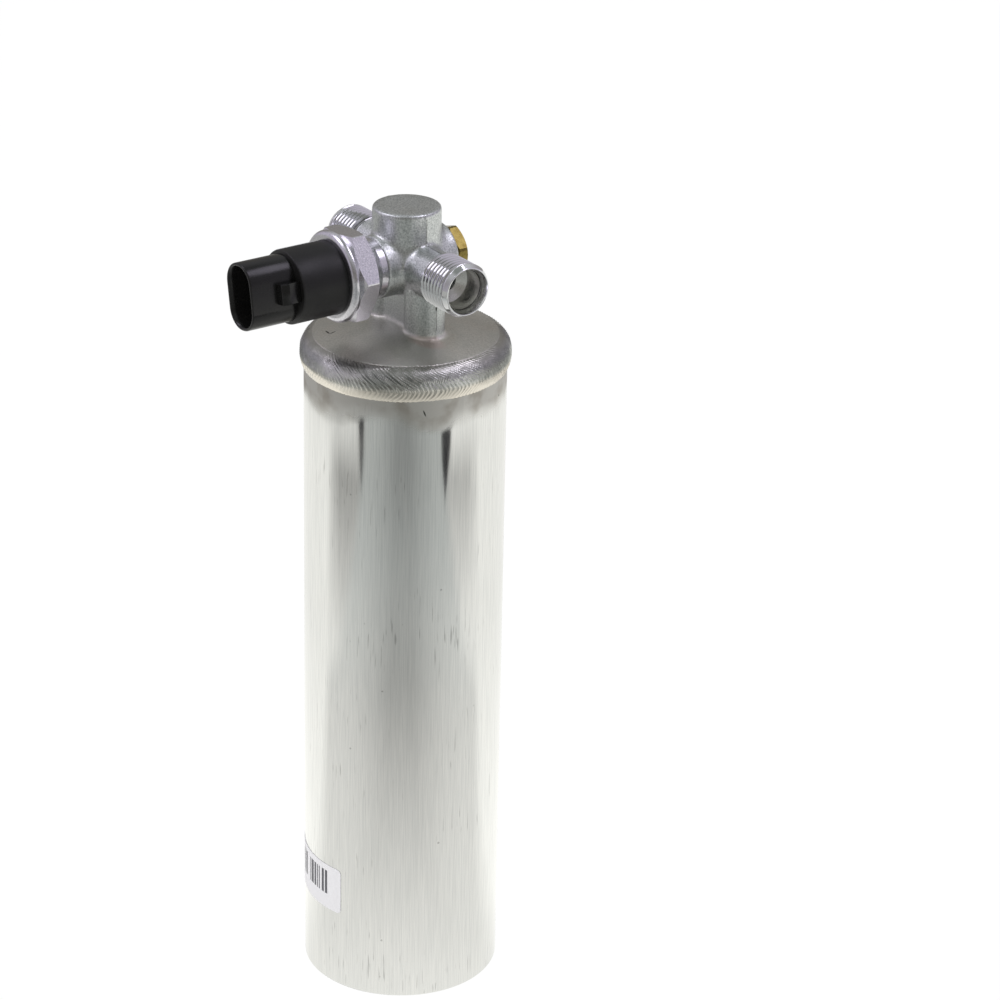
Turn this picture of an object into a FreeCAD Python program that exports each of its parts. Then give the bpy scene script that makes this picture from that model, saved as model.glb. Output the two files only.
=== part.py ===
import FreeCAD, Part
import Sketcher
import math
import os
import re

# Filter drier of a vehicle's refrigeration circuit. Z is up and the origin is the centre of the base.
# The pressure switch points to -Y, the fusible plug to +Y and the two threaded arms to -X and +X.
# The refrigerant comes in through the +X arm, passes the desiccant and leaves by the pickup tube
# through the -X arm.

# Sizes, in millimetres and degrees

SIZES = [
    # Can, an impact extruded aluminium cup
    ("can_radius", 30.0, "outside of the can"),
    ("can_wall", 2.0, "thickness of its side"),
    ("can_height", 201.0, "base to rim"),
    ("can_base", 3.0, "thickness of its bottom"),
    ("base_round", 0.9, "round on the outer bottom edge"),
    ("heel_round", 1.8, "round inside the bottom corner"),
    # Head, one forging with a cap disc, a waisted pillar and a cross of bosses
    ("cap_thickness", 8.0, "cap disc above the can's rim"),
    ("cap_inset", 0.6, "edge of the cap disc inside the can's side"),
    ("flat_inset", 2.5, "edge of the cap's bare flat top inside the can's side"),
    ("cap_land", 2.4, "height of the disc's edge below its weld bevel"),
    ("spigot_depth", 3.5, "spigot that centres the cap in the can"),
    ("spigot_gap", 0.15, "clearance of the spigot in the can"),
    ("pillar_height", 22.4, "cap's top to the axis of the arms"),
    ("column_offset", 9.7, "axis of each column of the pillar, from the centre"),
    ("column_radius", 5.85, "columns of the pillar"),
    ("web_thickness", 8.0, "web between the two columns"),
    ("post_radius", 10.1, "round post on top"),
    ("post_height", 17.0, "axis of the arms to the post's top"),
    ("post_edge", 0.7, "round on the post's top edge"),
    ("neck_radius", 7.2, "arms inside their threads"),
    ("arm_overhang", 1.3, "end of each arm beyond the can's side"),
    ("neck_run", 2.55, "plain neck between the pillar and the thread"),
    ("thread_radius", 8.0, "crest of the M16 thread"),
    ("thread_depth", 0.92, "depth of the thread, and its end chamfers"),
    ("pilot_radius", 6.85, "unthreaded nose of each arm"),
    ("pilot_length", 1.3, "length of that nose"),
    ("mouth_radius", 6.0, "bore in the end of each arm"),
    ("mouth_depth", 9.0, "depth of that bore to its drilled cone"),
    ("mouth_bevel", 0.5, "bevel at the lip of the bore"),
    ("drill_angle", 118.0, "point of the drills"),
    ("passage_radius", 3.2, "refrigerant passages"),
    ("boss_radius", 9.25, "front and rear bosses"),
    ("front_reach", 12.0, "centre to the front boss's face"),
    ("rear_reach", 12.4, "centre to the rear boss's face"),
    ("boss_edge", 0.9, "round on the rear boss's edge"),
    ("face_bevel", 0.3, "bevel of the front boss's turned face"),
    ("side_blend", 2.2, "forged blend between arms and bosses"),
    ("post_blend", 1.5, "forged blend round the post"),
    ("column_blend", 1.2, "forged blend over the columns"),
    ("foot_blend", 1.0, "forged blend at the pillar's foot"),
    ("port_radius", 5.0, "screwed ports in the two bosses"),
    ("port_depth", 9.0, "depth of the screwed ports"),
    ("gallery_radius", 1.8, "pressure gallery to the ports"),
    ("seal_seat", 6.9, "radius of the seal's recess in the front boss"),
    ("seat_depth", 1.8, "depth of that recess"),
    # Weld round the cap
    ("weld_rise", 1.2, "crown of the weld beyond the can's side"),
    ("weld_crown", 3.8, "height of the crown above the can's rim"),
    ("weld_toe", 2.0, "toe of the weld below the can's rim"),
    ("weld_shoulder", 4.9, "round of the weld's shoulder"),
    ("weld_lip", 9.0, "round of the weld's lower lip"),
    # Pickup tube and the drying stack that it carries
    ("tube_radius", 4.0, "outside of the pickup tube"),
    ("tube_wall", 0.8, "wall of the pickup tube"),
    ("tube_socket", 9.0, "depth of its socket in the cap"),
    ("tube_fit", 0.02, "clearance in the socket"),
    ("tube_foot", 5.0, "end of the tube above the can's floor"),
    ("bend_start", 3.0, "straight tube below the cap"),
    ("bend_radius", 14.0, "bends of the tube's offset"),
    ("bend_angle", 40.0, "slope of the tube's offset"),
    ("bead_radius", 5.4, "bead swaged on the tube under the stack"),
    ("bead_height", 1.6, "height of that bead"),
    ("stack_level", 92.0, "underside of the lower plate"),
    ("stack_gap", 0.3, "clearance of the stack in the can and round the tube"),
    ("plate_thickness", 1.2, "perforated plates"),
    ("plate_rim", 4.0, "height of the plates' turned rims"),
    ("plate_hole", 1.7, "radius of a perforation"),
    ("inner_ring", 11.0, "radius of the inner ring of holes"),
    ("inner_count", 8, "holes in the inner ring"),
    ("ring_inset", 7.2, "outer ring of holes inside the plate's edge"),
    ("outer_count", 14, "holes in the outer ring"),
    ("pad_thickness", 6.0, "felt pads"),
    ("bed_height", 54.0, "bed of desiccant beads"),
    ("spring_inset", 8.2, "coil of the hold-down spring inside the stack's edge"),
    ("spring_wire", 0.9, "radius of its wire"),
    ("spring_turns", 3.5, "turns of the spring"),
    ("screen_radius", 6.2, "strainer round the tube's foot"),
    ("screen_wall", 0.6, "wall of the strainer"),
    ("screen_drop", 3.0, "strainer's floor below the tube"),
    ("screen_height", 14.0, "height of the strainer"),
    ("screen_grip", 4.2, "strainer's collar on the tube"),
    ("screen_window", 1.2, "half width of a window in the strainer"),
    ("window_count", 6, "windows in the strainer"),
    # Fusible plug
    ("plug_seal", 0.5, "thickness of the plug's washer"),
    ("plug_flats", 14.0, "hexagon of the plug across its flats"),
    ("plug_corner", 7.85, "radius of its bevelled corners"),
    ("plug_height", 4.4, "height of the hexagon"),
    ("plug_bevel", 0.9, "bevel of its corners"),
    ("plug_turn", 12.0, "turn of the hexagon"),
    ("bevel_angle", 30.0, "slope of the bevels of both hexagons"),
    ("stem_gap", 0.05, "clearance of a screwed stem in its port"),
    ("stem_length", 8.0, "screwed stems"),
    ("core_radius", 2.2, "fusible core"),
    ("core_throat", 1.5, "narrow end of the fusible core"),
    ("core_sink", 0.3, "fusible core below the hexagon's face"),
    # Pressure switch, measured outwards from the front boss
    ("switch_turn", 10.0, "turn of the screwed-in switch about its axis"),
    ("ring_radius", 8.8, "turned ring against the boss"),
    ("ring_height", 2.1, "height of that ring"),
    ("flare_radius", 11.5, "wide end of the flare below the hexagon"),
    ("flare_height", 3.4, "height of the flare"),
    ("hex_flats", 25.4, "hexagon across its flats"),
    ("hex_corner", 14.55, "radius of the bevelled corners"),
    ("hex_height", 6.9, "height of the hexagon"),
    ("hex_bevel", 1.5, "bevel of the corners"),
    ("hex_turn", 5.5, "turn of the hexagon against the connector"),
    ("collar_radius", 13.65, "rolled collar"),
    ("collar_height", 2.6, "height of the rolled collar"),
    ("collar_round", 1.7, "round of the rolled collar"),
    ("collar_lip", 0.85, "thickness of the lip rolled over the housing"),
    ("pressure_bore", 1.0, "hole through the stem"),
    ("chamber_radius", 7.5, "pressure chamber under the diaphragm"),
    ("chamber_height", 0.9, "height of the pressure chamber"),
    ("works_radius", 9.5, "bore that holds the switch's works"),
    ("works_gap", 0.1, "clearance of the works in that bore"),
    ("works_level", 5.5, "seat of the diaphragm above the boss"),
    ("film_thickness", 0.25, "diaphragm"),
    ("seat_ring_height", 1.1, "ring round the snap disc"),
    ("disc_radius", 7.0, "snap disc"),
    ("disc_thickness", 0.3, "snap disc's sheet"),
    ("disc_dome", 0.45, "rise of the snap disc"),
    ("disc_gap", 0.15, "clearance round and over the snap disc"),
    ("guide_thickness", 0.9, "guide plate of the push pin"),
    ("pin_radius", 1.0, "push pin"),
    ("pin_fit", 0.06, "clearance of the push pin in its guide"),
    ("pin_gap", 0.05, "play at each end of the push pin"),
    ("pin_dome", 0.25, "rounded tip of the push pin"),
    ("blade_level", 11.0, "contact blade above the boss"),
    ("blade_thickness", 0.25, "contact blade's sheet"),
    ("blade_width", 3.2, "contact blade"),
    ("blade_hold", 1.3, "blade beyond its hinge line"),
    ("contact_radius", 0.9, "contact button"),
    ("contact_height", 0.4, "contact button"),
    ("contact_travel", 0.7, "open gap of the contacts"),
    ("root_gap", 0.1, "play of the blade's root under the first terminal"),
    ("housing_radius", 10.9, "moulded housing"),
    ("housing_length", 15.0, "collar to the housing's front"),
    ("housing_bevel", 0.4, "bevel of the housing's front edge"),
    ("flange_radius", 11.5, "flange held by the collar"),
    ("flange_gap", 0.1, "clearance of the flange in the body"),
    ("cavity_radius", 8.5, "contact chamber in the housing"),
    ("cavity_height", 8.0, "depth of the contact chamber"),
    ("ring_groove", 1.7, "width of the groove for the housing's seal"),
    ("shroud_width", 13.0, "oval shroud across"),
    ("shroud_height", 19.8, "oval shroud upright"),
    ("shroud_corner", 6.2, "corners of the oval"),
    ("shroud_length", 14.8, "housing's front to the shroud's mouth"),
    ("shroud_wall", 1.3, "wall of the shroud"),
    ("shroud_floor", 0.8, "floor of the shroud above the housing's front"),
    ("latch_reach", 9.1, "outer face of the latch blocks"),
    ("latch_width", 6.0, "latch blocks upright"),
    ("latch_length", 6.3, "length of the latch blocks"),
    ("barb_reach", 10.3, "tip of the latch barbs"),
    ("barb_length", 2.2, "length of the latch barbs"),
    ("pin_count", 4, "terminals in the connector"),
    ("terminal_pitch", 4.2, "step between terminals"),
    ("terminal_width", 2.3, "terminal"),
    ("terminal_thickness", 0.64, "terminal's sheet"),
    ("terminal_reach", 8.0, "terminal above the shroud's floor"),
    ("terminal_tip", 0.6, "taper at the terminal's end"),
    # Labels
    ("label_thickness", 0.12, "paper labels"),
    ("can_label_level", 25.5, "lower edge of the can's label"),
    ("can_label_height", 15.2, "its height"),
    ("can_label_start", 212.0, "its first edge round the can, from +X"),
    ("can_label_sweep", 76.0, "angle that it wraps"),
    ("can_label_corner", 1.5, "round of its corners"),
    ("side_label_level", 1.3, "housing label above the collar"),
    ("side_label_height", 13.0, "its height along the housing"),
    ("side_label_start", 102.0, "its first edge round the housing"),
    ("side_label_sweep", 75.0, "angle that it wraps"),
]

doc = FreeCAD.newDocument("FilterDrier")
sheet = doc.addObject("Spreadsheet::Sheet", "Sizes")
for row, (alias, value, note) in enumerate(SIZES, start=1):
    sheet.set(f"A{row}", note)
    sheet.set(f"B{row}", str(value))
    sheet.setAlias(f"B{row}", alias)
doc.recompute()


# Binding to the sheet

def bound(text):
    """Point each size that the text names at its cell."""
    return re.sub(r"[a-z]+(?:_[a-z]+)+", lambda word: "Sizes." + word.group(), text)


def size(text):
    """Value of an expression of sizes."""
    return float(sheet.evalExpression(bound(text)))


def drive(item, prop, text):
    item.setExpression(prop, bound(text))


# Levels that several pieces share
CAP_TOP = "can_height + cap_thickness"
ARM_AXIS = "can_height + cap_thickness + pillar_height"
CAP_UNDERSIDE = "can_height - spigot_depth"
INSIDE = "can_radius - can_wall"
CAP_EDGE = "can_radius - cap_inset"
CAP_FLAT = "can_radius - flat_inset"
ARM_REACH = "(can_radius + arm_overhang)"
STACK_RADIUS = "can_radius - can_wall - stack_gap"
TUBE_HOLE = "tube_radius + stack_gap"
LOWER_PAD = "stack_level + plate_thickness"
BED_LEVEL = "stack_level + plate_thickness + pad_thickness"
UPPER_PAD = "stack_level + plate_thickness + pad_thickness + bed_height"
UPPER_PLATE = "stack_level + plate_thickness + 2 * pad_thickness + bed_height"
SPRING_SEAT = "stack_level + 2 * plate_thickness + 2 * pad_thickness + bed_height"
HEX_LEVEL = "ring_height + flare_height"
COLLAR_LEVEL = "ring_height + flare_height + hex_height"
COLLAR_TOP = "ring_height + flare_height + hex_height + collar_height"
HOUSING_FRONT = "ring_height + flare_height + hex_height + collar_height + housing_length"
SEAT_RING = "works_level + film_thickness"
GUIDE_LEVEL = "works_level + film_thickness + seat_ring_height"
FLANGE_LEVEL = "works_level + film_thickness + seat_ring_height + guide_thickness"
CAVITY_TOP = "works_level + film_thickness + seat_ring_height + guide_thickness + cavity_height"
TERMINAL_LEVEL = "blade_level + blade_thickness + contact_height + contact_travel"
ROOT_LEVEL = "blade_level + blade_thickness + root_gap"
BLADE_SPAN = "(pin_count - 1) / 2 * terminal_pitch"
NEAR = 1e-4


# Sketches and features

def new_body(name):
    body = doc.addObject("PartDesign::Body", name)
    body.Label = name
    return body


def new_sketch(body, name, plane, shift="0", rise="0"):
    """Sketch on one of the body's own planes, shifted along its normal and up its own vertical."""
    sketch = body.newObject("Sketcher::SketchObject", name)
    base = [feature for feature in body.Origin.OriginFeatures if feature.Role == plane]
    sketch.AttachmentSupport = [(base[0], "")]
    sketch.MapMode = "FlatFace"
    drive(sketch, "AttachmentOffset.Base.z", shift)
    drive(sketch, "AttachmentOffset.Base.y", rise)
    return sketch


def fix_point(sketch, geometry, end, x_text, y_text):
    """Hold one point at a place worked out from the sheet."""
    for kind, text, axis in (("DistanceX", x_text, -2), ("DistanceY", y_text, -1)):
        if text == "0":
            sketch.addConstraint(Sketcher.Constraint("PointOnObject", geometry, end, axis))
        else:
            rule = sketch.addConstraint(Sketcher.Constraint(kind, -1, 1, geometry, end, size(text)))
            drive(sketch, f"Constraints[{rule}]", text)


def outline(sketch, corners, closed=True):
    """Outline through the corners. A corner's third item makes the side that leaves it an arc of
    that radius: it swells to the right of travel, or to the left after a minus sign."""
    places = [FreeCAD.Vector(size(corner[0]), size(corner[1]), 0) for corner in corners]
    sides = []
    for corner, start, end in zip(corners, places, places[1:] + places[:closed]):
        if len(corner) == 2:
            side = sketch.addGeometry(Part.LineSegment(start, end), False)
            sides.append((side, 1, 2))
            continue
        hollow = corner[2].startswith("-")
        radius = size(corner[2].lstrip("-"))
        chord = end - start
        sagitta = radius - math.sqrt(max(radius ** 2 - (chord.Length / 2) ** 2, 0))
        swell = FreeCAD.Vector(chord.y, -chord.x, 0).normalize() * (-sagitta if hollow else sagitta)
        middle = (start + end) / 2 + swell
        first, last = (end, start) if hollow else (start, end)
        side = sketch.addGeometry(Part.Arc(first, middle, last), False)
        sides.append((side, 2, 1) if hollow else (side, 1, 2))
    for index, (side, start, end) in enumerate(sides):
        corner = corners[index]
        if index or closed:
            previous, _, meeting = sides[index - 1]
            sketch.addConstraint(Sketcher.Constraint("Coincident", previous, meeting, side, start))
        fix_point(sketch, side, start, corner[0], corner[1])
        if len(corner) == 3:
            text = corner[2].lstrip("-")
            rule = sketch.addConstraint(Sketcher.Constraint("Radius", side, size(text)))
            drive(sketch, f"Constraints[{rule}]", text)
    if not closed:
        fix_point(sketch, side, end, corners[-1][0], corners[-1][1])
    return sketch


def ring(sketch, x_text, y_text, radius_text):
    """Circle at a bound place."""
    centre = FreeCAD.Vector(size(x_text), size(y_text), 0)
    circle = Part.Circle(centre, FreeCAD.Vector(0, 0, 1), size(radius_text))
    side = sketch.addGeometry(circle, False)
    fix_point(sketch, side, 3, x_text, y_text)
    rule = sketch.addConstraint(Sketcher.Constraint("Radius", side, size(radius_text)))
    drive(sketch, f"Constraints[{rule}]", radius_text)
    return sketch


def hexagon(sketch, flats_text, turn_text):
    """Hexagon whose first flat faces the turned horizontal direction."""
    for step in range(6):
        angle = math.radians(size(turn_text) + 60 * step + 30)
        reach = size(flats_text) / math.sqrt(3)
        before = angle - math.pi / 3
        start = FreeCAD.Vector(reach * math.cos(before), reach * math.sin(before), 0)
        end = FreeCAD.Vector(reach * math.cos(angle), reach * math.sin(angle), 0)
        sketch.addGeometry(Part.LineSegment(start, end), False)
    for step in range(6):
        side = (step - 1) % 6
        sketch.addConstraint(Sketcher.Constraint("Coincident", side, 2, step, 1))
        corner = f"({turn_text} + {60 * step - 30})"
        x_text = f"({flats_text}) / sqrt(3) * cos({corner})"
        y_text = f"({flats_text}) / sqrt(3) * sin({corner})"
        fix_point(sketch, step, 1, x_text, y_text)
    return sketch


def turn(body, name, sketch, axis="V_Axis", cut=False):
    kind = "PartDesign::Groove" if cut else "PartDesign::Revolution"
    feature = body.newObject(kind, name)
    feature.Profile = sketch
    feature.ReferenceAxis = (sketch, [axis])
    feature.Angle = 360
    return feature


def extrude(body, name, sketch, length, cut=False, reverse=False, both=False):
    kind = "PartDesign::Pocket" if cut else "PartDesign::Pad"
    feature = body.newObject(kind, name)
    feature.Profile = sketch
    drive(feature, "Length", length)
    feature.Reversed = reverse
    if both:
        feature.Midplane = True
    return feature


def spread(body, name, feature, count, sketch):
    """Polar pattern of one feature round the sketch's own normal."""
    pattern = body.newObject("PartDesign::PolarPattern", name)
    pattern.Originals = [feature]
    pattern.Axis = (sketch, ["N_Axis"])
    pattern.Angle = 360
    drive(pattern, "Occurrences", count)
    body.Tip = pattern
    return pattern


def mirror(body, name, features):
    """Mirror features across the body's own YZ plane."""
    copy = body.newObject("PartDesign::Mirrored", name)
    plane = [feature for feature in body.Origin.OriginFeatures if feature.Role == "YZ_Plane"]
    copy.Originals = features
    copy.MirrorPlane = (plane[0], [""])
    body.Tip = copy
    return copy


def soften(body, name, test, radius, chamfer=False):
    """Round or bevel every edge of the body's present shape that passes the test."""
    doc.recompute()
    tip = body.Tip
    names = [f"Edge{index}" for index, edge in enumerate(tip.Shape.Edges, start=1) if test(edge, tip.Shape)]
    feature = body.newObject("PartDesign::Chamfer" if chamfer else "PartDesign::Fillet", name)
    feature.Base = (tip, names)
    drive(feature, "Size" if chamfer else "Radius", radius)
    return feature


def span(edge):
    """Box of an edge, which the tests for rounds read."""
    return edge.BoundBox


def on_switch(item):
    """Seat a piece of the switch: its own Z axis points out of the front boss."""
    seat = f"vector(0; -front_reach; {ARM_AXIS})"
    drive(item, "Placement", f"placement({seat}; rotation(0; -switch_turn; 90))")


def on_plug(item):
    """Seat a piece of the fusible plug: its own Z axis points out of the rear boss."""
    item.Placement = FreeCAD.Placement(FreeCAD.Vector(), FreeCAD.Rotation(FreeCAD.Vector(1, 0, 0), -90))
    drive(item, "Placement.Base.y", "rear_reach")
    drive(item, "Placement.Base.z", ARM_AXIS)


# Can

can = new_body("can")
turn(can, "can_shell", outline(new_sketch(can, "can_profile", "XZ_Plane"), [
    ("0", "0"),
    ("can_radius - base_round", "0", "base_round"),
    ("can_radius", "base_round"),
    ("can_radius", "can_height"),
    (INSIDE, "can_height"),
    (INSIDE, "can_base + heel_round", "-heel_round"),
    (INSIDE + " - heel_round", "can_base"),
    ("0", "can_base"),
]))

# Head, forged in one piece and then turned and drilled

head = new_body("head")
SPIGOT = INSIDE + " - spigot_gap"
turn(head, "cap_disc", outline(new_sketch(head, "cap_profile", "XZ_Plane"), [
    ("0", CAP_UNDERSIDE),
    (SPIGOT, CAP_UNDERSIDE),
    (SPIGOT, "can_height"),
    (CAP_EDGE, "can_height"),
    (CAP_EDGE, "can_height + cap_land"),
    (CAP_FLAT, CAP_TOP),
    ("0", CAP_TOP),
]))
columns = new_sketch(head, "column_circles", "XY_Plane", CAP_TOP)
ring(columns, "column_offset", "0", "column_radius")
ring(columns, "-column_offset", "0", "column_radius")
extrude(head, "columns", columns, "pillar_height")
web = outline(new_sketch(head, "web_outline", "XY_Plane", CAP_TOP), [
    ("-column_offset", "-web_thickness / 2"),
    ("column_offset", "-web_thickness / 2"),
    ("column_offset", "web_thickness / 2"),
    ("-column_offset", "web_thickness / 2"),
])
extrude(head, "web", web, "pillar_height")
post = ring(new_sketch(head, "post_circle", "XY_Plane", ARM_AXIS), "0", "0", "post_radius")
extrude(head, "post", post, "post_height")

THREAD_END = ARM_REACH + " - pilot_length"
THREAD_START = "column_offset + column_radius + neck_run"
turn(head, "arms", outline(new_sketch(head, "arm_profile", "XZ_Plane", rise=ARM_AXIS), [
    ("-" + ARM_REACH, "0"),
    (ARM_REACH, "0"),
    (ARM_REACH, "pilot_radius"),
    (THREAD_END, "pilot_radius"),
    (THREAD_END, "thread_radius - thread_depth"),
    (THREAD_END + " - thread_depth", "thread_radius"),
    (THREAD_START + " + thread_depth", "thread_radius"),
    (THREAD_START, "neck_radius"),
    ("-(" + THREAD_START + ")", "neck_radius"),
    ("-(" + THREAD_START + " + thread_depth)", "thread_radius"),
    ("-(" + THREAD_END + " - thread_depth)", "thread_radius"),
    ("-(" + THREAD_END + ")", "thread_radius - thread_depth"),
    ("-(" + THREAD_END + ")", "pilot_radius"),
    ("-" + ARM_REACH, "pilot_radius"),
]), "H_Axis")
turn(head, "bosses", outline(new_sketch(head, "boss_profile", "XY_Plane", ARM_AXIS), [
    ("0", "-front_reach"),
    ("boss_radius - face_bevel", "-front_reach"),
    ("boss_radius", "-front_reach + face_bevel"),
    ("boss_radius", "rear_reach - boss_edge", "boss_edge"),
    ("boss_radius - boss_edge", "rear_reach"),
    ("0", "rear_reach"),
]))


def curved_joint(edge, shape):
    """True where two round walls of the forging run into each other."""
    faces = shape.ancestorsOfType(edge, Part.Face)
    round_walls = [face for face in faces if not isinstance(face.Surface, (Part.Plane, Part.Cone))]
    straight = isinstance(edge.Curve, (Part.Line, Part.LineSegment))
    return len(round_walls) == 2 and not straight and len({face.hashCode() for face in faces}) == 2


def arm_to_boss(edge, shape):
    box = span(edge)
    tall = box.ZMin < size(ARM_AXIS) < box.ZMax
    beside = box.YLength < size("neck_radius") and box.XLength < size("boss_radius")
    return curved_joint(edge, shape) and tall and beside


def round_post(edge, shape):
    box = span(edge)
    above = box.ZMin > size(ARM_AXIS) and box.ZMax < size(ARM_AXIS + " + boss_radius + post_edge")
    return curved_joint(edge, shape) and above


def over_columns(edge, shape):
    box = span(edge)
    under = size(CAP_TOP + " + foot_blend") < box.ZMin and box.ZMax < size(ARM_AXIS)
    near = box.XLength < size("2 * column_radius + 2 * column_offset")
    return curved_joint(edge, shape) and under and near


def pillar_foot(edge, shape):
    box = span(edge)
    level = abs(box.ZMin - size(CAP_TOP)) + abs(box.ZMax - size(CAP_TOP)) < NEAR
    return level and box.YLength < size("2 * column_radius + foot_blend")


def post_rim(edge, shape):
    return abs(span(edge).ZMin - size(ARM_AXIS + " + post_height")) < NEAR


soften(head, "arm_blends", arm_to_boss, "side_blend")
soften(head, "post_blends", round_post, "post_blend")
soften(head, "column_blends", over_columns, "column_blend")
soften(head, "foot_blends", pillar_foot, "foot_blend")
soften(head, "post_rim", post_rim, "post_edge")

# Bores of the arms: mouth, drilled cone and a passage that stops over its column
POINT = "tan(drill_angle / 2)"
mouth = outline(new_sketch(head, "mouth_profile", "XZ_Plane", rise=ARM_AXIS), [
    (ARM_REACH, "0"),
    (ARM_REACH, "mouth_radius + mouth_bevel"),
    (ARM_REACH + " - mouth_bevel", "mouth_radius"),
    (ARM_REACH + " - mouth_depth", "mouth_radius"),
    (ARM_REACH + " - mouth_depth - (mouth_radius - passage_radius) / " + POINT, "passage_radius"),
    ("column_offset", "passage_radius"),
    ("column_offset - passage_radius / " + POINT, "0"),
])
mouth_cut = turn(head, "mouth_bore", mouth, "H_Axis", cut=True)
mirror(head, "mouth_bores", [mouth_cut])
risers = new_sketch(head, "riser_circles", "XY_Plane", CAP_UNDERSIDE)
ring(risers, "column_offset", "0", "passage_radius")
ring(risers, "-column_offset", "0", "passage_radius")
extrude(head, "risers", risers, ARM_AXIS + " - (" + CAP_UNDERSIDE + ")", cut=True, reverse=True)
socket = new_sketch(head, "socket_circle", "XY_Plane", CAP_UNDERSIDE)
ring(socket, "-column_offset", "0", "tube_radius + tube_fit")
extrude(head, "tube_socket_bore", socket, "tube_socket", cut=True, reverse=True)
gallery = ring(new_sketch(head, "gallery_circle", "XY_Plane", CAP_UNDERSIDE), "0", "0", "gallery_radius")
extrude(head, "gallery", gallery, ARM_AXIS + " - (" + CAP_UNDERSIDE + ")", cut=True, reverse=True)
turn(head, "ports", outline(new_sketch(head, "port_profile", "XY_Plane", ARM_AXIS), [
    ("0", "-front_reach"),
    ("seal_seat", "-front_reach"),
    ("seal_seat", "-front_reach + seat_depth"),
    ("port_radius", "-front_reach + seat_depth"),
    ("port_radius", "-front_reach + port_depth"),
    ("gallery_radius", "-front_reach + port_depth"),
    ("gallery_radius", "rear_reach - port_depth"),
    ("port_radius", "rear_reach - port_depth"),
    ("port_radius", "rear_reach"),
    ("0", "rear_reach"),
]), cut=True)

# Weld bead, run round the bevel between the cap and the can

weld = new_body("weld_bead")
turn(weld, "bead", outline(new_sketch(weld, "bead_profile", "XZ_Plane"), [
    ("can_radius", "can_height - weld_toe", "weld_lip"),
    ("can_radius + weld_rise", "can_height + weld_crown", "weld_shoulder"),
    (CAP_FLAT, CAP_TOP),
    (CAP_EDGE, "can_height + cap_land"),
    (CAP_EDGE, "can_height"),
    ("can_radius", "can_height"),
]))

# Pickup tube, with an offset that brings it from its socket to the centre

tube = new_body("pickup_tube")
TUBE_TOP = CAP_UNDERSIDE + " + tube_socket"
BEND_TOP = CAP_UNDERSIDE + " - bend_start"
SLOPE_RUN = "(column_offset - 2 * bend_radius * (1 - cos(bend_angle)))"
ARC_RUN = "bend_radius * (1 - cos(bend_angle))"
ARC_DROP = "bend_radius * sin(bend_angle)"
BEND_END = BEND_TOP + " - 2 * " + ARC_DROP + " - " + SLOPE_RUN + " / tan(bend_angle)"
TUBE_END = "can_base + tube_foot"
route = outline(new_sketch(tube, "tube_route", "XZ_Plane"), [
    ("-column_offset", TUBE_TOP),
    ("-column_offset", BEND_TOP, "bend_radius"),
    ("-column_offset + " + ARC_RUN, BEND_TOP + " - " + ARC_DROP),
    ("-" + ARC_RUN, BEND_END + " + " + ARC_DROP, "-bend_radius"),
    ("0", BEND_END),
    ("0", TUBE_END),
], closed=False)
for kind, name, radius in (
    ("PartDesign::AdditivePipe", "tube_outside", "tube_radius"),
    ("PartDesign::SubtractivePipe", "tube_inside", "tube_radius - tube_wall"),
):
    if kind.endswith("SubtractivePipe"):
        turn(tube, "swaged_bead", outline(new_sketch(tube, "swage_profile", "XZ_Plane"), [
            ("tube_radius - tube_wall / 2", "stack_level - bead_height"),
            ("tube_radius", "stack_level - bead_height"),
            ("bead_radius", "stack_level - bead_height / 2"),
            ("bead_radius", "stack_level"),
            ("tube_radius - tube_wall / 2", "stack_level"),
        ]))
    circle = ring(new_sketch(tube, name + "_circle", "XY_Plane", TUBE_TOP), "-column_offset", "0", radius)
    pipe = tube.newObject(kind, name)
    pipe.Profile = circle
    pipe.Spine = route

# Strainer, a moulded basket pressed on the foot of the tube

screen = new_body("tube_strainer")
SCREEN_FLOOR = TUBE_END + " - screen_drop"
SCREEN_NECK = SCREEN_FLOOR + " + screen_height - screen_grip"
turn(screen, "basket", outline(new_sketch(screen, "basket_profile", "XZ_Plane"), [
    ("0", SCREEN_FLOOR),
    ("screen_radius", SCREEN_FLOOR),
    ("screen_radius", SCREEN_FLOOR + " + screen_height"),
    ("tube_radius + tube_fit", SCREEN_FLOOR + " + screen_height"),
    ("tube_radius + tube_fit", SCREEN_NECK),
    ("screen_radius - screen_wall", SCREEN_NECK),
    ("screen_radius - screen_wall", SCREEN_FLOOR + " + screen_wall"),
    ("0", SCREEN_FLOOR + " + screen_wall"),
]))
window = new_sketch(screen, "window_outline", "YZ_Plane")
outline(window, [
    ("-screen_window", SCREEN_FLOOR + " + 2 * screen_wall"),
    ("screen_window", SCREEN_FLOOR + " + 2 * screen_wall"),
    ("screen_window", SCREEN_NECK + " - screen_wall"),
    ("-screen_window", SCREEN_NECK + " - screen_wall"),
])
window_cut = extrude(screen, "window", window, "screen_radius + screen_wall", cut=True, reverse=True)
spread(screen, "windows", window_cut, "window_count", new_sketch(screen, "window_axis", "XY_Plane"))

# Perforated plates, pressed cups whose rims turn away from the bed


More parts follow.
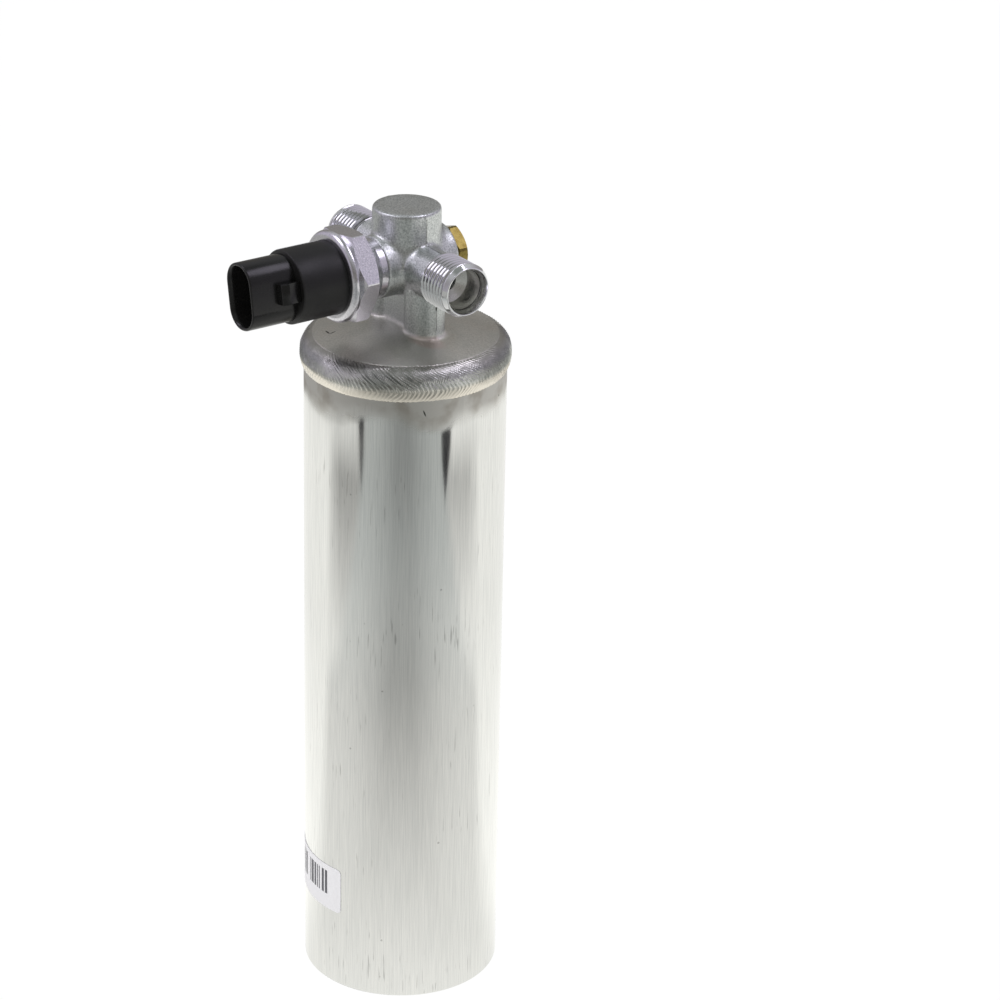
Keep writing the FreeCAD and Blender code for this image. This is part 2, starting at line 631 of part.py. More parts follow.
def perforated_plate(name, level, rim_up):
    plate = new_body(name)
    rim_end = f"({level}) + plate_thickness + plate_rim" if rim_up else f"({level}) - plate_rim"
    near = f"({level}) + plate_thickness" if rim_up else level
    far = level if rim_up else f"({level}) + plate_thickness"
    turn(plate, name + "_cup", outline(new_sketch(plate, name + "_profile", "XZ_Plane"), [
        (TUBE_HOLE, far),
        (STACK_RADIUS, far),
        (STACK_RADIUS, rim_end),
        (STACK_RADIUS + " - plate_thickness", rim_end),
        (STACK_RADIUS + " - plate_thickness", near),
        (TUBE_HOLE, near),
    ]))
    outer_radius = STACK_RADIUS + " - ring_inset"
    rows = (("inner", "inner_ring", "inner_count"), ("outer", outer_radius, "outer_count"))
    for place, radius, count in rows:
        hole = new_sketch(plate, f"{name}_{place}_hole", "XY_Plane", level)
        ring(hole, radius, "0", "plate_hole")
        cut = extrude(plate, f"{name}_{place}_cut", hole, "plate_thickness", cut=True, reverse=True)
        spread(plate, f"{name}_{place}_holes", cut, count, hole)
    return plate


perforated_plate("lower_plate", "stack_level", rim_up=False)
perforated_plate("upper_plate", UPPER_PLATE, rim_up=True)

# Felt pads and the desiccant bed between them, all rings round the tube


def stack_ring(name, level, height):
    outer = doc.addObject("Part::Cylinder", name + "_outer")
    inner = doc.addObject("Part::Cylinder", name + "_hole")
    for cylinder, radius in ((outer, STACK_RADIUS), (inner, TUBE_HOLE)):
        drive(cylinder, "Radius", radius)
        drive(cylinder, "Height", height)
        drive(cylinder, "Placement.Base.z", level)
    cut = doc.addObject("Part::Cut", name)
    cut.Base = outer
    cut.Tool = inner
    cut.Label = name
    return cut


stack_ring("lower_pad", LOWER_PAD, "pad_thickness")
stack_ring("desiccant_bed", BED_LEVEL, "bed_height")
stack_ring("upper_pad", UPPER_PAD, "pad_thickness")

# Hold-down spring between the cap and the upper plate

SPRING_RADIUS = STACK_RADIUS + " - spring_inset"
SPRING_RISE = "(" + CAP_UNDERSIDE + " - (" + SPRING_SEAT + ") - 2 * spring_wire)"
coil = doc.addObject("Part::Helix", "spring_coil")
drive(coil, "Radius", SPRING_RADIUS)
drive(coil, "Height", SPRING_RISE)
drive(coil, "Pitch", SPRING_RISE + " / spring_turns")
wire_section = doc.addObject("Part::Circle", "spring_section")
drive(wire_section, "Radius", "spring_wire")
wire_section.Placement = FreeCAD.Placement(FreeCAD.Vector(), FreeCAD.Rotation(FreeCAD.Vector(1, 0, 0), 90))
drive(wire_section, "Placement.Base.x", SPRING_RADIUS)
spring = doc.addObject("Part::Sweep", "hold_down_spring")
spring.Sections = [wire_section]
spring.Spine = (coil, ["Edge1"])
spring.Solid = True
spring.Frenet = True
spring.Label = "hold_down_spring"
drive(spring, "Placement.Base.z", SPRING_SEAT + " + spring_wire")

# Fusible plug, a brass screw whose bored centre is filled with a low melting alloy


def hex_nut(body, name, flats, turn_angle, level, height, corner, bevel):
    """Hexagon with both faces bevelled at the corners."""
    flat = hexagon(new_sketch(body, name + "_outline", "XY_Plane", level), flats, turn_angle)
    extrude(body, name, flat, height)
    reach = f"(({flats}) / sqrt(3) + {bevel})"
    slope = f"(({reach} - {corner}) * tan(bevel_angle) + {bevel})"
    low, high = f"({level})", f"({level} + {height})"
    for end_name, edge, inward in (("low", low, "+"), ("high", high, "-")):
        corners = [
            (f"{corner} - {bevel} / tan(bevel_angle)", edge),
            (reach, f"{edge} {inward} {slope}"),
            (reach, edge),
        ]
        bevel_sketch = outline(new_sketch(body, f"{name}_{end_name}_bevel", "XZ_Plane"), corners)
        turn(body, f"{name}_{end_name}_cut", bevel_sketch, cut=True)
    rim = outline(new_sketch(body, name + "_rim_profile", "XZ_Plane"), [
        (corner, low),
        (reach, low),
        (reach, high),
        (corner, high),
    ])
    turn(body, name + "_rim_cut", rim, cut=True)


plug = new_body("fusible_plug")
turn(plug, "plug_stem", outline(new_sketch(plug, "stem_profile", "XZ_Plane"), [
    ("0", "-stem_length"),
    ("port_radius - stem_gap - thread_depth", "-stem_length"),
    ("port_radius - stem_gap", "-stem_length + thread_depth"),
    ("port_radius - stem_gap", "plug_seal"),
    ("0", "plug_seal"),
]))
hex_nut(plug, "plug_hex", "plug_flats", "plug_turn", "plug_seal", "plug_height", "plug_corner", "plug_bevel")
CORE = [
    ("0", "-stem_length"),
    ("core_throat", "-stem_length"),
    ("core_throat", "-stem_length / 2"),
    ("core_radius", "-stem_length / 2 + core_radius"),
]
turn(plug, "plug_bore", outline(new_sketch(plug, "plug_bore_profile", "XZ_Plane"), CORE + [
    ("core_radius", "plug_seal + plug_height"),
    ("0", "plug_seal + plug_height"),
]), cut=True)
on_plug(plug)
core = new_body("fusible_core")
turn(core, "core", outline(new_sketch(core, "core_profile", "XZ_Plane"), CORE + [
    ("core_radius", "plug_seal + plug_height - core_sink"),
    ("0", "plug_seal + plug_height - core_sink"),
]))
on_plug(core)
washer = new_body("plug_washer")
washer_rings = new_sketch(washer, "washer_rings", "XY_Plane")
ring(washer_rings, "0", "0", "plug_flats / 2 - plug_seal")
ring(washer_rings, "0", "0", "port_radius")
extrude(washer, "washer", washer_rings, "plug_seal")
on_plug(washer)

# Switch body, turned from hexagon bar, its collar rolled over the housing's flange

body = new_body("switch_body")
turn(body, "switch_stem", outline(new_sketch(body, "switch_stem_profile", "XZ_Plane"), [
    ("0", "-stem_length"),
    ("port_radius - stem_gap - thread_depth", "-stem_length"),
    ("port_radius - stem_gap", "-stem_length + thread_depth"),
    ("port_radius - stem_gap", "0"),
    ("ring_radius", "0"),
    ("ring_radius", "ring_height"),
    ("flare_radius", HEX_LEVEL),
    ("0", HEX_LEVEL),
]))
hex_nut(body, "switch_hex", "hex_flats", "-hex_turn - 30", HEX_LEVEL,
        "hex_height", "hex_corner", "hex_bevel")
turn(body, "collar", outline(new_sketch(body, "collar_profile", "XZ_Plane"), [
    ("0", COLLAR_LEVEL + " - hex_bevel"),
    ("hex_flats / 2 - hex_bevel / 3", COLLAR_LEVEL + " - hex_bevel"),
    ("collar_radius - collar_round / 3", COLLAR_LEVEL),
    ("collar_radius", COLLAR_TOP + " - collar_round", "collar_round"),
    ("collar_radius - collar_round", COLLAR_TOP),
    ("0", COLLAR_TOP),
]))
turn(body, "works_bore", outline(new_sketch(body, "works_profile", "XZ_Plane"), [
    ("0", "-stem_length"),
    ("pressure_bore", "-stem_length"),
    ("pressure_bore", "works_level - chamber_height"),
    ("chamber_radius", "works_level - chamber_height"),
    ("chamber_radius", "works_level"),
    ("works_radius", "works_level"),
    ("works_radius", FLANGE_LEVEL),
    ("flange_radius + flange_gap", FLANGE_LEVEL),
    ("flange_radius + flange_gap", COLLAR_TOP + " - collar_lip"),
    ("housing_radius + flange_gap", COLLAR_TOP + " - collar_lip"),
    ("housing_radius + flange_gap", COLLAR_TOP),
    ("0", COLLAR_TOP),
]), cut=True)
on_switch(body)

# Seal between the switch and the boss

seal = doc.addObject("Part::Torus", "port_seal")
seal.Label = "port_seal"
drive(seal, "Radius1", "(seal_seat + port_radius - stem_gap) / 2")
drive(seal, "Radius2", "(seal_seat - port_radius + stem_gap) / 2 - stem_gap * 2")
seal_place = FreeCAD.Rotation(FreeCAD.Vector(1, 0, 0), 90)
seal.Placement = FreeCAD.Placement(FreeCAD.Vector(), seal_place)
drive(seal, "Placement.Base.y", "-front_reach + seat_depth / 2")
drive(seal, "Placement.Base.z", ARM_AXIS)

# Works of the switch: diaphragm, snap disc in its ring, guide plate and push pin

film = new_body("diaphragm")
film_circle = new_sketch(film, "film_circle", "XY_Plane", "works_level")
ring(film_circle, "0", "0", "works_radius - works_gap")
extrude(film, "film", film_circle, "film_thickness")
on_switch(film)
seat = new_body("disc_ring")
seat_rings = new_sketch(seat, "seat_rings", "XY_Plane", SEAT_RING)
ring(seat_rings, "0", "0", "works_radius - works_gap")
ring(seat_rings, "0", "0", "disc_radius + disc_gap")
extrude(seat, "seat", seat_rings, "seat_ring_height")
on_switch(seat)
DOME_RADIUS = "((disc_radius ^ 2 + disc_dome ^ 2) / (2 * disc_dome))"
disc = new_body("snap_disc")
turn(disc, "disc", outline(new_sketch(disc, "disc_profile", "XZ_Plane", rise=SEAT_RING), [
    ("0", "disc_dome + disc_thickness"),
    ("0", "disc_dome", DOME_RADIUS),
    ("disc_radius", "0"),
    ("disc_radius", "disc_thickness", "-" + DOME_RADIUS),
]))
on_switch(disc)
guide = new_body("pin_guide")
guide_rings = new_sketch(guide, "guide_rings", "XY_Plane", GUIDE_LEVEL)
ring(guide_rings, "0", "0", "works_radius - works_gap")
ring(guide_rings, "0", "0", "pin_radius + pin_fit")
extrude(guide, "guide", guide_rings, "guide_thickness")
on_switch(guide)
pin = new_body("push_pin")
PIN_FOOT = SEAT_RING + " + disc_dome + disc_thickness + pin_gap"
TIP_RADIUS = "(pin_radius ^ 2 + pin_dome ^ 2) / (2 * pin_dome)"
turn(pin, "pin", outline(new_sketch(pin, "pin_profile", "XZ_Plane"), [
    ("0", PIN_FOOT),
    ("pin_radius", PIN_FOOT),
    ("pin_radius", "blade_level - pin_gap - pin_dome", TIP_RADIUS),
    ("0", "blade_level - pin_gap"),
]))
on_switch(pin)

# Contact blade, sprung from the first terminal, with its button under the last

blade = new_body("contact_blade")
blade_outline = outline(new_sketch(blade, "blade_outline", "XY_Plane", "blade_level"), [
    ("-blade_width / 2", "-(" + BLADE_SPAN + ") - blade_hold"),
    ("blade_width / 2", "-(" + BLADE_SPAN + ") - blade_hold"),
    ("blade_width / 2", BLADE_SPAN),
    ("0", BLADE_SPAN + " + blade_width / 3"),
    ("-blade_width / 2", BLADE_SPAN),
])
extrude(blade, "blade", blade_outline, "blade_thickness")
button = new_sketch(blade, "button_circle", "XY_Plane", "blade_level + blade_thickness")
ring(button, "0", BLADE_SPAN + " - contact_radius / 2", "contact_radius")
extrude(blade, "button", button, "contact_height")
on_switch(blade)

# Housing, one black moulding with the contact chamber, the oval shroud and the latch blocks

housing = new_body("switch_housing")
turn(housing, "housing_barrel", outline(new_sketch(housing, "barrel_profile", "XZ_Plane"), [
    ("0", CAVITY_TOP),
    ("cavity_radius", CAVITY_TOP),
    ("cavity_radius", FLANGE_LEVEL),
    ("flange_radius", FLANGE_LEVEL),
    ("flange_radius", COLLAR_TOP + " - collar_lip"),
    ("housing_radius", COLLAR_TOP + " - collar_lip"),
    ("housing_radius", HOUSING_FRONT + " - housing_bevel"),
    ("housing_radius - housing_bevel", HOUSING_FRONT),
    ("0", HOUSING_FRONT),
]))
GROOVE_LEVEL = FLANGE_LEVEL + " + ring_groove"
turn(housing, "seal_groove", outline(new_sketch(housing, "groove_profile", "XZ_Plane"), [
    ("flange_radius - ring_groove + flange_gap", GROOVE_LEVEL),
    ("flange_radius + flange_gap", GROOVE_LEVEL),
    ("flange_radius + flange_gap", GROOVE_LEVEL + " + ring_groove"),
    ("flange_radius - ring_groove + flange_gap", GROOVE_LEVEL + " + ring_groove"),
]), cut=True)


def oval(sketch, inset):
    """Upright rounded rectangle of the shroud, drawn inset by a wall."""
    half_width = f"(shroud_width / 2 - {inset})"
    half_height = f"(shroud_height / 2 - {inset})"
    corner = f"(shroud_corner - {inset})"
    flat_x, flat_y = f"({half_width} - {corner})", f"({half_height} - {corner})"
    return outline(sketch, [
        (half_width, "-" + flat_y),
        (half_width, flat_y, corner),
        (flat_x, half_height),
        ("-" + flat_x, half_height, corner),
        ("-" + half_width, flat_y),
        ("-" + half_width, "-" + flat_y, corner),
        ("-" + flat_x, "-" + half_height),
        (flat_x, "-" + half_height, corner),
    ])


extrude(housing, "shroud", oval(new_sketch(housing, "shroud_outline", "XY_Plane", HOUSING_FRONT), "0"),
        "shroud_length")
latch = outline(new_sketch(housing, "latch_profile", "XZ_Plane"), [
    ("shroud_width / 2 - shroud_wall / 2", HOUSING_FRONT),
    ("latch_reach", HOUSING_FRONT),
    ("latch_reach", HOUSING_FRONT + " + latch_length - barb_length"),
    ("barb_reach", HOUSING_FRONT + " + latch_length - barb_length"),
    ("latch_reach", HOUSING_FRONT + " + latch_length"),
    ("shroud_width / 2 - shroud_wall / 2", HOUSING_FRONT + " + latch_length"),
])
latch_block = extrude(housing, "latch_block", latch, "latch_width", both=True)
mirror(housing, "latch_blocks", [latch_block])
SHROUD_FLOOR = HOUSING_FRONT + " + shroud_floor"
extrude(housing, "shroud_hollow",
        oval(new_sketch(housing, "hollow_outline", "XY_Plane", SHROUD_FLOOR), "shroud_wall"),
        "shroud_length - shroud_floor", cut=True, reverse=True)
PINS = int(size("pin_count"))
for index in range(PINS):
    low = f"({index} - (pin_count - 1) / 2) * terminal_pitch - terminal_width / 2"
    high = f"({index} - (pin_count - 1) / 2) * terminal_pitch + terminal_width / 2"
    slot = new_sketch(housing, f"terminal_slot_{index + 1}", "XY_Plane", CAVITY_TOP)
    outline(slot, [
        ("-terminal_thickness / 2", low),
        ("terminal_thickness / 2", low),
        ("terminal_thickness / 2", high),
        ("-terminal_thickness / 2", high),
    ])
    extrude(housing, f"terminal_passage_{index + 1}", slot, SHROUD_FLOOR + " - (" + CAVITY_TOP + ")",
            cut=True, reverse=True)
on_switch(housing)

# Seal round the housing's flange

flange_seal = doc.addObject("Part::Torus", "flange_seal")
flange_seal.Label = "flange_seal"
drive(flange_seal, "Radius1", "flange_radius + flange_gap - ring_groove / 2")
drive(flange_seal, "Radius2", "ring_groove / 2 - flange_gap / 2")
flange_seal.Placement = FreeCAD.Placement(FreeCAD.Vector(), seal_place)
drive(flange_seal, "Placement.Base.y", "-front_reach - (" + GROOVE_LEVEL + " + ring_groove / 2)")
drive(flange_seal, "Placement.Base.z", ARM_AXIS)

# Terminals, moulded into the housing in one upright row

for index in range(PINS):
    terminal = new_body(f"terminal_{index + 1}")
    centre = f"({index} - (pin_count - 1) / 2) * terminal_pitch"
    level = TERMINAL_LEVEL if index else ROOT_LEVEL
    outline_sketch = outline(new_sketch(terminal, f"terminal_outline_{index + 1}", "YZ_Plane"), [
        (f"{centre} - terminal_width / 2", level),
        (f"{centre} + terminal_width / 2", level),
        (f"{centre} + terminal_width / 2", SHROUD_FLOOR + " + terminal_reach - terminal_tip"),
        (f"{centre} + terminal_width / 2 - terminal_tip", SHROUD_FLOOR + " + terminal_reach"),
        (f"{centre} - terminal_width / 2 + terminal_tip", SHROUD_FLOOR + " + terminal_reach"),
        (f"{centre} - terminal_width / 2", SHROUD_FLOOR + " + terminal_reach - terminal_tip"),
    ])
    extrude(terminal, f"terminal_blade_{index + 1}", outline_sketch, "terminal_thickness", both=True)
    on_switch(terminal)

# Labels, bare paper wrapped on the can and on the housing


def wrapped_label(name, radius, level, height, start, sweep):
    """Thin band of a cylinder, from its first edge round by the sweep."""
    label = new_body(name)
    section = new_sketch(label, name + "_section", "XZ_Plane")
    section.AttachmentOffset = FreeCAD.Placement(FreeCAD.Vector(), FreeCAD.Rotation(UPRIGHT, 1))
    drive(section, "AttachmentOffset.Rotation.Angle", start)
    outline(section, [
        (radius, level),
        (f"({radius}) + label_thickness", level),
        (f"({radius}) + label_thickness", f"({level}) + ({height})"),
        (radius, f"({level}) + ({height})"),
    ])
    band = turn(label, name + "_band", section)
    drive(band, "Angle", sweep)
    return label


def short_radial(edge, shape):
    return edge.Length < 2 * size("label_thickness")


UPRIGHT = FreeCAD.Vector(0, 1, 0)
can_label = wrapped_label("can_label", "can_radius", "can_label_level", "can_label_height",
                          "can_label_start", "can_label_sweep")
soften(can_label, "label_corners", short_radial, "can_label_corner")
side_label = wrapped_label("side_label", "housing_radius", COLLAR_TOP + " + side_label_level",
                           "side_label_height", "side_label_start", "side_label_sweep")
on_switch(side_label)

# Checks and export

doc.recompute()
failed = [item.Name for item in doc.Objects if {"Invalid", "Error"} & set(item.State)]
if failed:
    raise RuntimeError(f"failed objects: {failed}")
HELPERS = ("_outer", "_hole", "_coil", "_section")
pieces = [item for item in doc.Objects if item.isDerivedFrom("Part::Feature")]
pieces = [item for item in pieces if item.getParentGeoFeatureGroup() is None]
pieces = [item for item in pieces if not item.Name.endswith(HELPERS)]
for piece in pieces:
    if piece.Shape.isNull() or not piece.Shape.isValid() or len(piece.Shape.Solids) != 1:
        raise RuntimeError(f"{piece.Label} is not one valid solid")
os.makedirs("parts", exist_ok=True)
for piece in pieces:
    piece.Shape.exportStep(f"parts/{piece.Label}.step")
    box = piece.Shape.BoundBox
    print(f"{piece.Label}: {piece.Shape.Volume:.1f} mm3, {box.XMin:.1f}..{box.XMax:.1f}, "
          f"{box.YMin:.1f}..{box.YMax:.1f}, {box.ZMin:.1f}..{box.ZMax:.1f}")
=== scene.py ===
import math

import bmesh
import bpy
from mathutils import Matrix, Vector


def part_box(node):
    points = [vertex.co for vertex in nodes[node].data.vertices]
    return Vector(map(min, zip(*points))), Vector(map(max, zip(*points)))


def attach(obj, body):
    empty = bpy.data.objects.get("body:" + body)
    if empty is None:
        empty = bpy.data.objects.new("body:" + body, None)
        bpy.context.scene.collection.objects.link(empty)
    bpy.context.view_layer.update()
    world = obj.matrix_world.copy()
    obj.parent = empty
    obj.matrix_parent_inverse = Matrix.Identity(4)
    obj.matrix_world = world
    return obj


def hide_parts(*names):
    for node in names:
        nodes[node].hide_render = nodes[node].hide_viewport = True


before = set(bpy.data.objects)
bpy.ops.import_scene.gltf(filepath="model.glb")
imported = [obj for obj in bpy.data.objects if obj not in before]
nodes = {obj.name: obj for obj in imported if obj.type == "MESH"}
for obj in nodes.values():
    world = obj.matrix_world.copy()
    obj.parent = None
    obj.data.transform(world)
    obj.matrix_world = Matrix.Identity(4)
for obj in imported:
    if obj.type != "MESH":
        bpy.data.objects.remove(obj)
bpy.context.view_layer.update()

# Filter drier of a vehicle's refrigeration circuit, upright on a pale floor, with Z up. Lengths are in
# metres, and where a shape is drawn in millimetres its sizes are multiplied by MM at the end. Each section is
# one piece or group of pieces, from the can upwards, and the studio comes last.

MM = 0.001


# Can
# Impact extruded aluminium cup. Its side keeps the fine upright grain of the die, with small knocks and
# smudges, and the weld's heat has dulled a wavy band under the cap.

def linear(code):
    """Linear colour of an sRGB hex value."""
    shades = [int(code[step:step + 2], 16) / 255 for step in (1, 3, 5)]
    shades = [shade / 12.92 if shade <= 0.04045 else ((shade + 0.055) / 1.055) ** 2.4 for shade in shades]
    return (*shades, 1.0)


def add(tree, kind, inputs=(), **settings):
    """Adds a node, gives it its settings and inputs, and returns its first output in use."""
    item = tree.nodes.new(kind)
    for name, value in settings.items():
        setattr(item, name, value)
    for socket, value in dict(inputs).items():
        if isinstance(value, bpy.types.NodeSocket):
            tree.links.new(value, item.inputs[socket])
        else:
            item.inputs[socket].default_value = value
    return next((output for output in item.outputs if output.enabled), item)


def new_material(name, **sockets):
    """Material with the shader's sockets set, its tree, its shader and the object's own coordinates."""
    material = bpy.data.materials.new(name)
    material.use_nodes = True
    tree = material.node_tree
    shader = tree.nodes["Principled BSDF"]
    for socket, value in sockets.items():
        shader.inputs[socket.replace("_", " ")].default_value = value
    place = add(tree, "ShaderNodeTexCoord").node.outputs["Object"]
    return material, tree, shader, place


def lumps(tree, place, sizes, detail=3.0, roughness=0.5):
    """Noise whose lumps have the given sizes along X, Y and Z."""
    scaled = add(tree, "ShaderNodeMapping", {0: place, 3: [1 / size for size in sizes]})
    return add(tree, "ShaderNodeTexNoise", {
        0: scaled, "Scale": 1.0, "Detail": detail, "Roughness": roughness,
    })


def two_tones(tree, pattern, dark, light, low=0.35, high=0.65):
    """Colour that runs from a dark to a light tone while a pattern runs from low to high."""
    tone = add(tree, "ShaderNodeMapRange", {0: pattern, 1: low, 2: high, 3: 0.0, 4: 1.0})
    return add(tree, "ShaderNodeMix", {0: tone, 6: linear(dark), 7: linear(light)}, data_type="RGBA")


def wire_up(tree, shader, colour, rough, relief, strength, depth):
    """Gives the shader its colour, its roughness and the bump of a relief of some depth."""
    tree.links.new(colour, shader.inputs["Base Color"])
    tree.links.new(rough, shader.inputs["Roughness"])
    bump = add(tree, "ShaderNodeBump", {"Strength": strength, "Distance": depth, "Height": relief})
    tree.links.new(bump, shader.inputs["Normal"])


def dress(material, *pieces):
    """Gives one material to the objects of CAD nodes."""
    for piece in pieces:
        slots = nodes[piece].data.materials
        slots.clear()
        slots.append(material)


def mark_at(tree, place, centre, turn, reach, core=0.6):
    """Mask of one mark: an ellipsoid with its centre and reaches in millimetres and its turn in degrees.

    It is full within the core, a share of its reach, and fades to nothing at its skin.
    """
    local = add(tree, "ShaderNodeMapping", {
        0: place, 1: Vector(centre) * MM, 2: [math.radians(angle) for angle in turn], 3: Vector(reach) * MM,
    }, vector_type="TEXTURE")
    local = add(tree, "ShaderNodeVectorMath", {0: local}, operation="LENGTH")
    return add(tree, "ShaderNodeMapRange", {0: local, 1: core, 2: 1.0, 3: 1.0, 4: 0.0})


CAN_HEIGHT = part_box("can")[1].z
GRAIN_WIDTH = 0.3 * MM        # real grain is finer: drawn as coarse as it needs to show
GRAIN_LENGTH = 14 * MM
DULL_WIDTH, DULL_LENGTH = 9 * MM, 38 * MM
PIT_SPACING = 4.2 * MM
PIT_LARGEST = 0.09            # radius, as a share of the spacing
SCRATCH_WIDTH = 0.55 * MM     # real scratches are finer too
SCRATCH_LENGTH = 9 * MM
SCRATCH_PATCH = 22 * MM
SMUDGE = 7 * MM
HEAT_BAND = 4 * MM            # full under the weld, then fading
HEAT_FADE = 9 * MM
HEAT_WAVE = 16 * MM           # length of the band's waves, and the height that they span
KNOCKS = (
    ((27.5, -11.9, 195.3), (22, 0, -23), (1.5, 0.28, 1.25)),
    ((25.6, 15.6, 194.2), (0, 0, 31), (1.5, 0.3, 0.4)),
    ((6.9, -29.2, 199.6), (0, 0, -77), (1.5, 0.3, 0.3)),
)
# Bright extruded aluminium: its grain draws what it mirrors out up and down, and the heated band is satin
can_aluminium, tree, shader, place = new_material("extruded_aluminium", Metallic=1.0, Roughness=0.2)
grain = lumps(tree, place, (GRAIN_WIDTH, GRAIN_WIDTH, GRAIN_LENGTH))
dullness = lumps(tree, place, (DULL_WIDTH, DULL_WIDTH, DULL_LENGTH), roughness=0.6)
height = add(tree, "ShaderNodeSeparateXYZ", {0: place}).node.outputs["Z"]
wave = add(tree, "ShaderNodeTexNoise", {0: place, "Scale": 1 / HEAT_WAVE, "Detail": 2.0})
wave = add(tree, "ShaderNodeMath", {0: wave, 1: HEAT_WAVE}, operation="MULTIPLY")
level = add(tree, "ShaderNodeMath", {0: height, 1: wave}, operation="SUBTRACT")
heat = add(tree, "ShaderNodeMapRange", {
    0: level, 1: CAN_HEIGHT - HEAT_WAVE / 2 - HEAT_BAND - HEAT_FADE,
    2: CAN_HEIGHT - HEAT_WAVE / 2 - HEAT_BAND, 3: 0.0, 4: 1.0,
}, interpolation_type="SMOOTHSTEP")
# Pits, a few millimetres apart and a few tenths across
pits = add(tree, "ShaderNodeTexVoronoi", {0: place, "Scale": 1 / PIT_SPACING})
pit_kind = add(tree, "ShaderNodeSeparateColor", {0: pits.node.outputs["Color"]})
pit_size = add(tree, "ShaderNodeMapRange", {0: pit_kind, 1: 0.82, 2: 1.0, 3: 0.0, 4: PIT_LARGEST})
pit = add(tree, "ShaderNodeMath", {0: pits, 1: pit_size}, operation="LESS_THAN")
# Fine upright scratches, gathered in patches
lines = lumps(tree, place, (SCRATCH_WIDTH, SCRATCH_WIDTH, SCRATCH_LENGTH), 1.0)
lines = add(tree, "ShaderNodeMapRange", {0: lines, 1: 0.66, 2: 0.72, 3: 0.0, 4: 1.0})
patch = add(tree, "ShaderNodeTexNoise", {0: place, "Scale": 1 / SCRATCH_PATCH, "Detail": 2.0})
patch = add(tree, "ShaderNodeMapRange", {0: patch, 1: 0.5, 2: 0.62, 3: 0.0, 4: 1.0})
scratch = add(tree, "ShaderNodeMath", {0: lines, 1: patch}, operation="MULTIPLY")
mark = add(tree, "ShaderNodeMath", {0: pit, 1: scratch}, operation="MAXIMUM")
smudge = add(tree, "ShaderNodeTexNoise", {0: place, "Scale": 1 / SMUDGE, "Detail": 3.0})
smudge = add(tree, "ShaderNodeMapRange", {0: smudge, 1: 0.48, 2: 0.66, 3: 0.0, 4: 0.6})
smudge = add(tree, "ShaderNodeMath", {0: smudge, 1: heat}, operation="MULTIPLY")
dark = add(tree, "ShaderNodeMath", {0: mark, 1: 0.36}, operation="MULTIPLY")
for knock in KNOCKS:
    dark = add(tree, "ShaderNodeMath", {0: dark, 1: mark_at(tree, place, *knock)}, operation="MAXIMUM")
metal = two_tones(tree, grain, "#e0e1df", "#f0f0ed", 0.3, 0.7)
for mask, tint in ((heat, "#cac9c3"), (smudge, "#a39d92"), (dark, "#575854")):
    metal = add(tree, "ShaderNodeMix", {0: mask, 6: metal, 7: linear(tint)}, data_type="RGBA")
rough = add(tree, "ShaderNodeMapRange", {0: dullness, 1: 0.3, 2: 0.7, 3: 0.05, 4: 0.12})
rough = add(tree, "ShaderNodeMath", {0: grain, 1: 0.03, 2: rough}, operation="MULTIPLY_ADD")
rough = add(tree, "ShaderNodeMath", {0: heat, 1: 0.46, 2: rough}, operation="MULTIPLY_ADD")
wire_up(tree, shader, metal, rough, grain, 0.07, 0.02 * MM)
dress(can_aluminium, "can")


# Drying stack
# Pressed steel plates with turned rims, felt pads, the bed of beads, the hold-down spring and the pickup tube
# with its moulded strainer. They sit inside the closed can.

ROUGHNESS_SPREAD = 0.06


def plain_finish(name, light, dark, grain_size, metallic, roughness, bump_depth=0.05 * MM):
    """Finish of two close tones in an even grain, with the grain's relief."""
    material, tree, shader, place = new_material(name, Metallic=metallic)
    grain = add(tree, "ShaderNodeTexNoise", {0: place, "Scale": 1 / grain_size, "Detail": 4.0})
    rough = add(tree, "ShaderNodeMapRange", {
        0: grain, 1: 0.3, 2: 0.7, 3: roughness - ROUGHNESS_SPREAD, 4: roughness + ROUGHNESS_SPREAD,
    })
    wire_up(tree, shader, two_tones(tree, grain, dark, light), rough, grain, 0.4, bump_depth)
    return material


# Zinc plated steel is a soft grey mirror, felt and beads are matt and coarse, the drawn tube has a dull
# shine, nylon is milky and the spring's oiled steel is dark
pressed_steel = plain_finish("zinc_plated_steel", "#b9bab8", "#9a9c9c", 0.8 * MM, 1.0, 0.32)
felt = plain_finish("polyester_felt", "#e8e4da", "#cfc9ba", 0.5 * MM, 0.0, 0.95, 0.3 * MM)
beads = plain_finish("molecular_sieve_beads", "#d9cdb8", "#9b8c74", 1.8 * MM, 0.0, 0.85, 0.9 * MM)
drawn_tube = plain_finish("drawn_aluminium", "#e2e3e1", "#cfd0ce", 0.6 * MM, 1.0, 0.28)
nylon = plain_finish("moulded_nylon", "#ece8dc", "#dcd6c6", 1.5 * MM, 0.0, 0.5)
spring_wire = plain_finish("spring_steel", "#8d8f91", "#6e7072", 0.6 * MM, 1.0, 0.35)
dress(pressed_steel, "lower_plate", "upper_plate")
dress(felt, "lower_pad", "upper_pad")
dress(beads, "desiccant_bed")
dress(drawn_tube, "pickup_tube")
dress(nylon, "tube_strainer")
dress(spring_wire, "hold_down_spring")


# Head forging
# One aluminium forging: cap disc, two-lobed pillar, post and a cross of arms and bosses, all blended by the
# die, with a thin flash seam where the die's halves met. Blasted, then turned where the ends are machined.

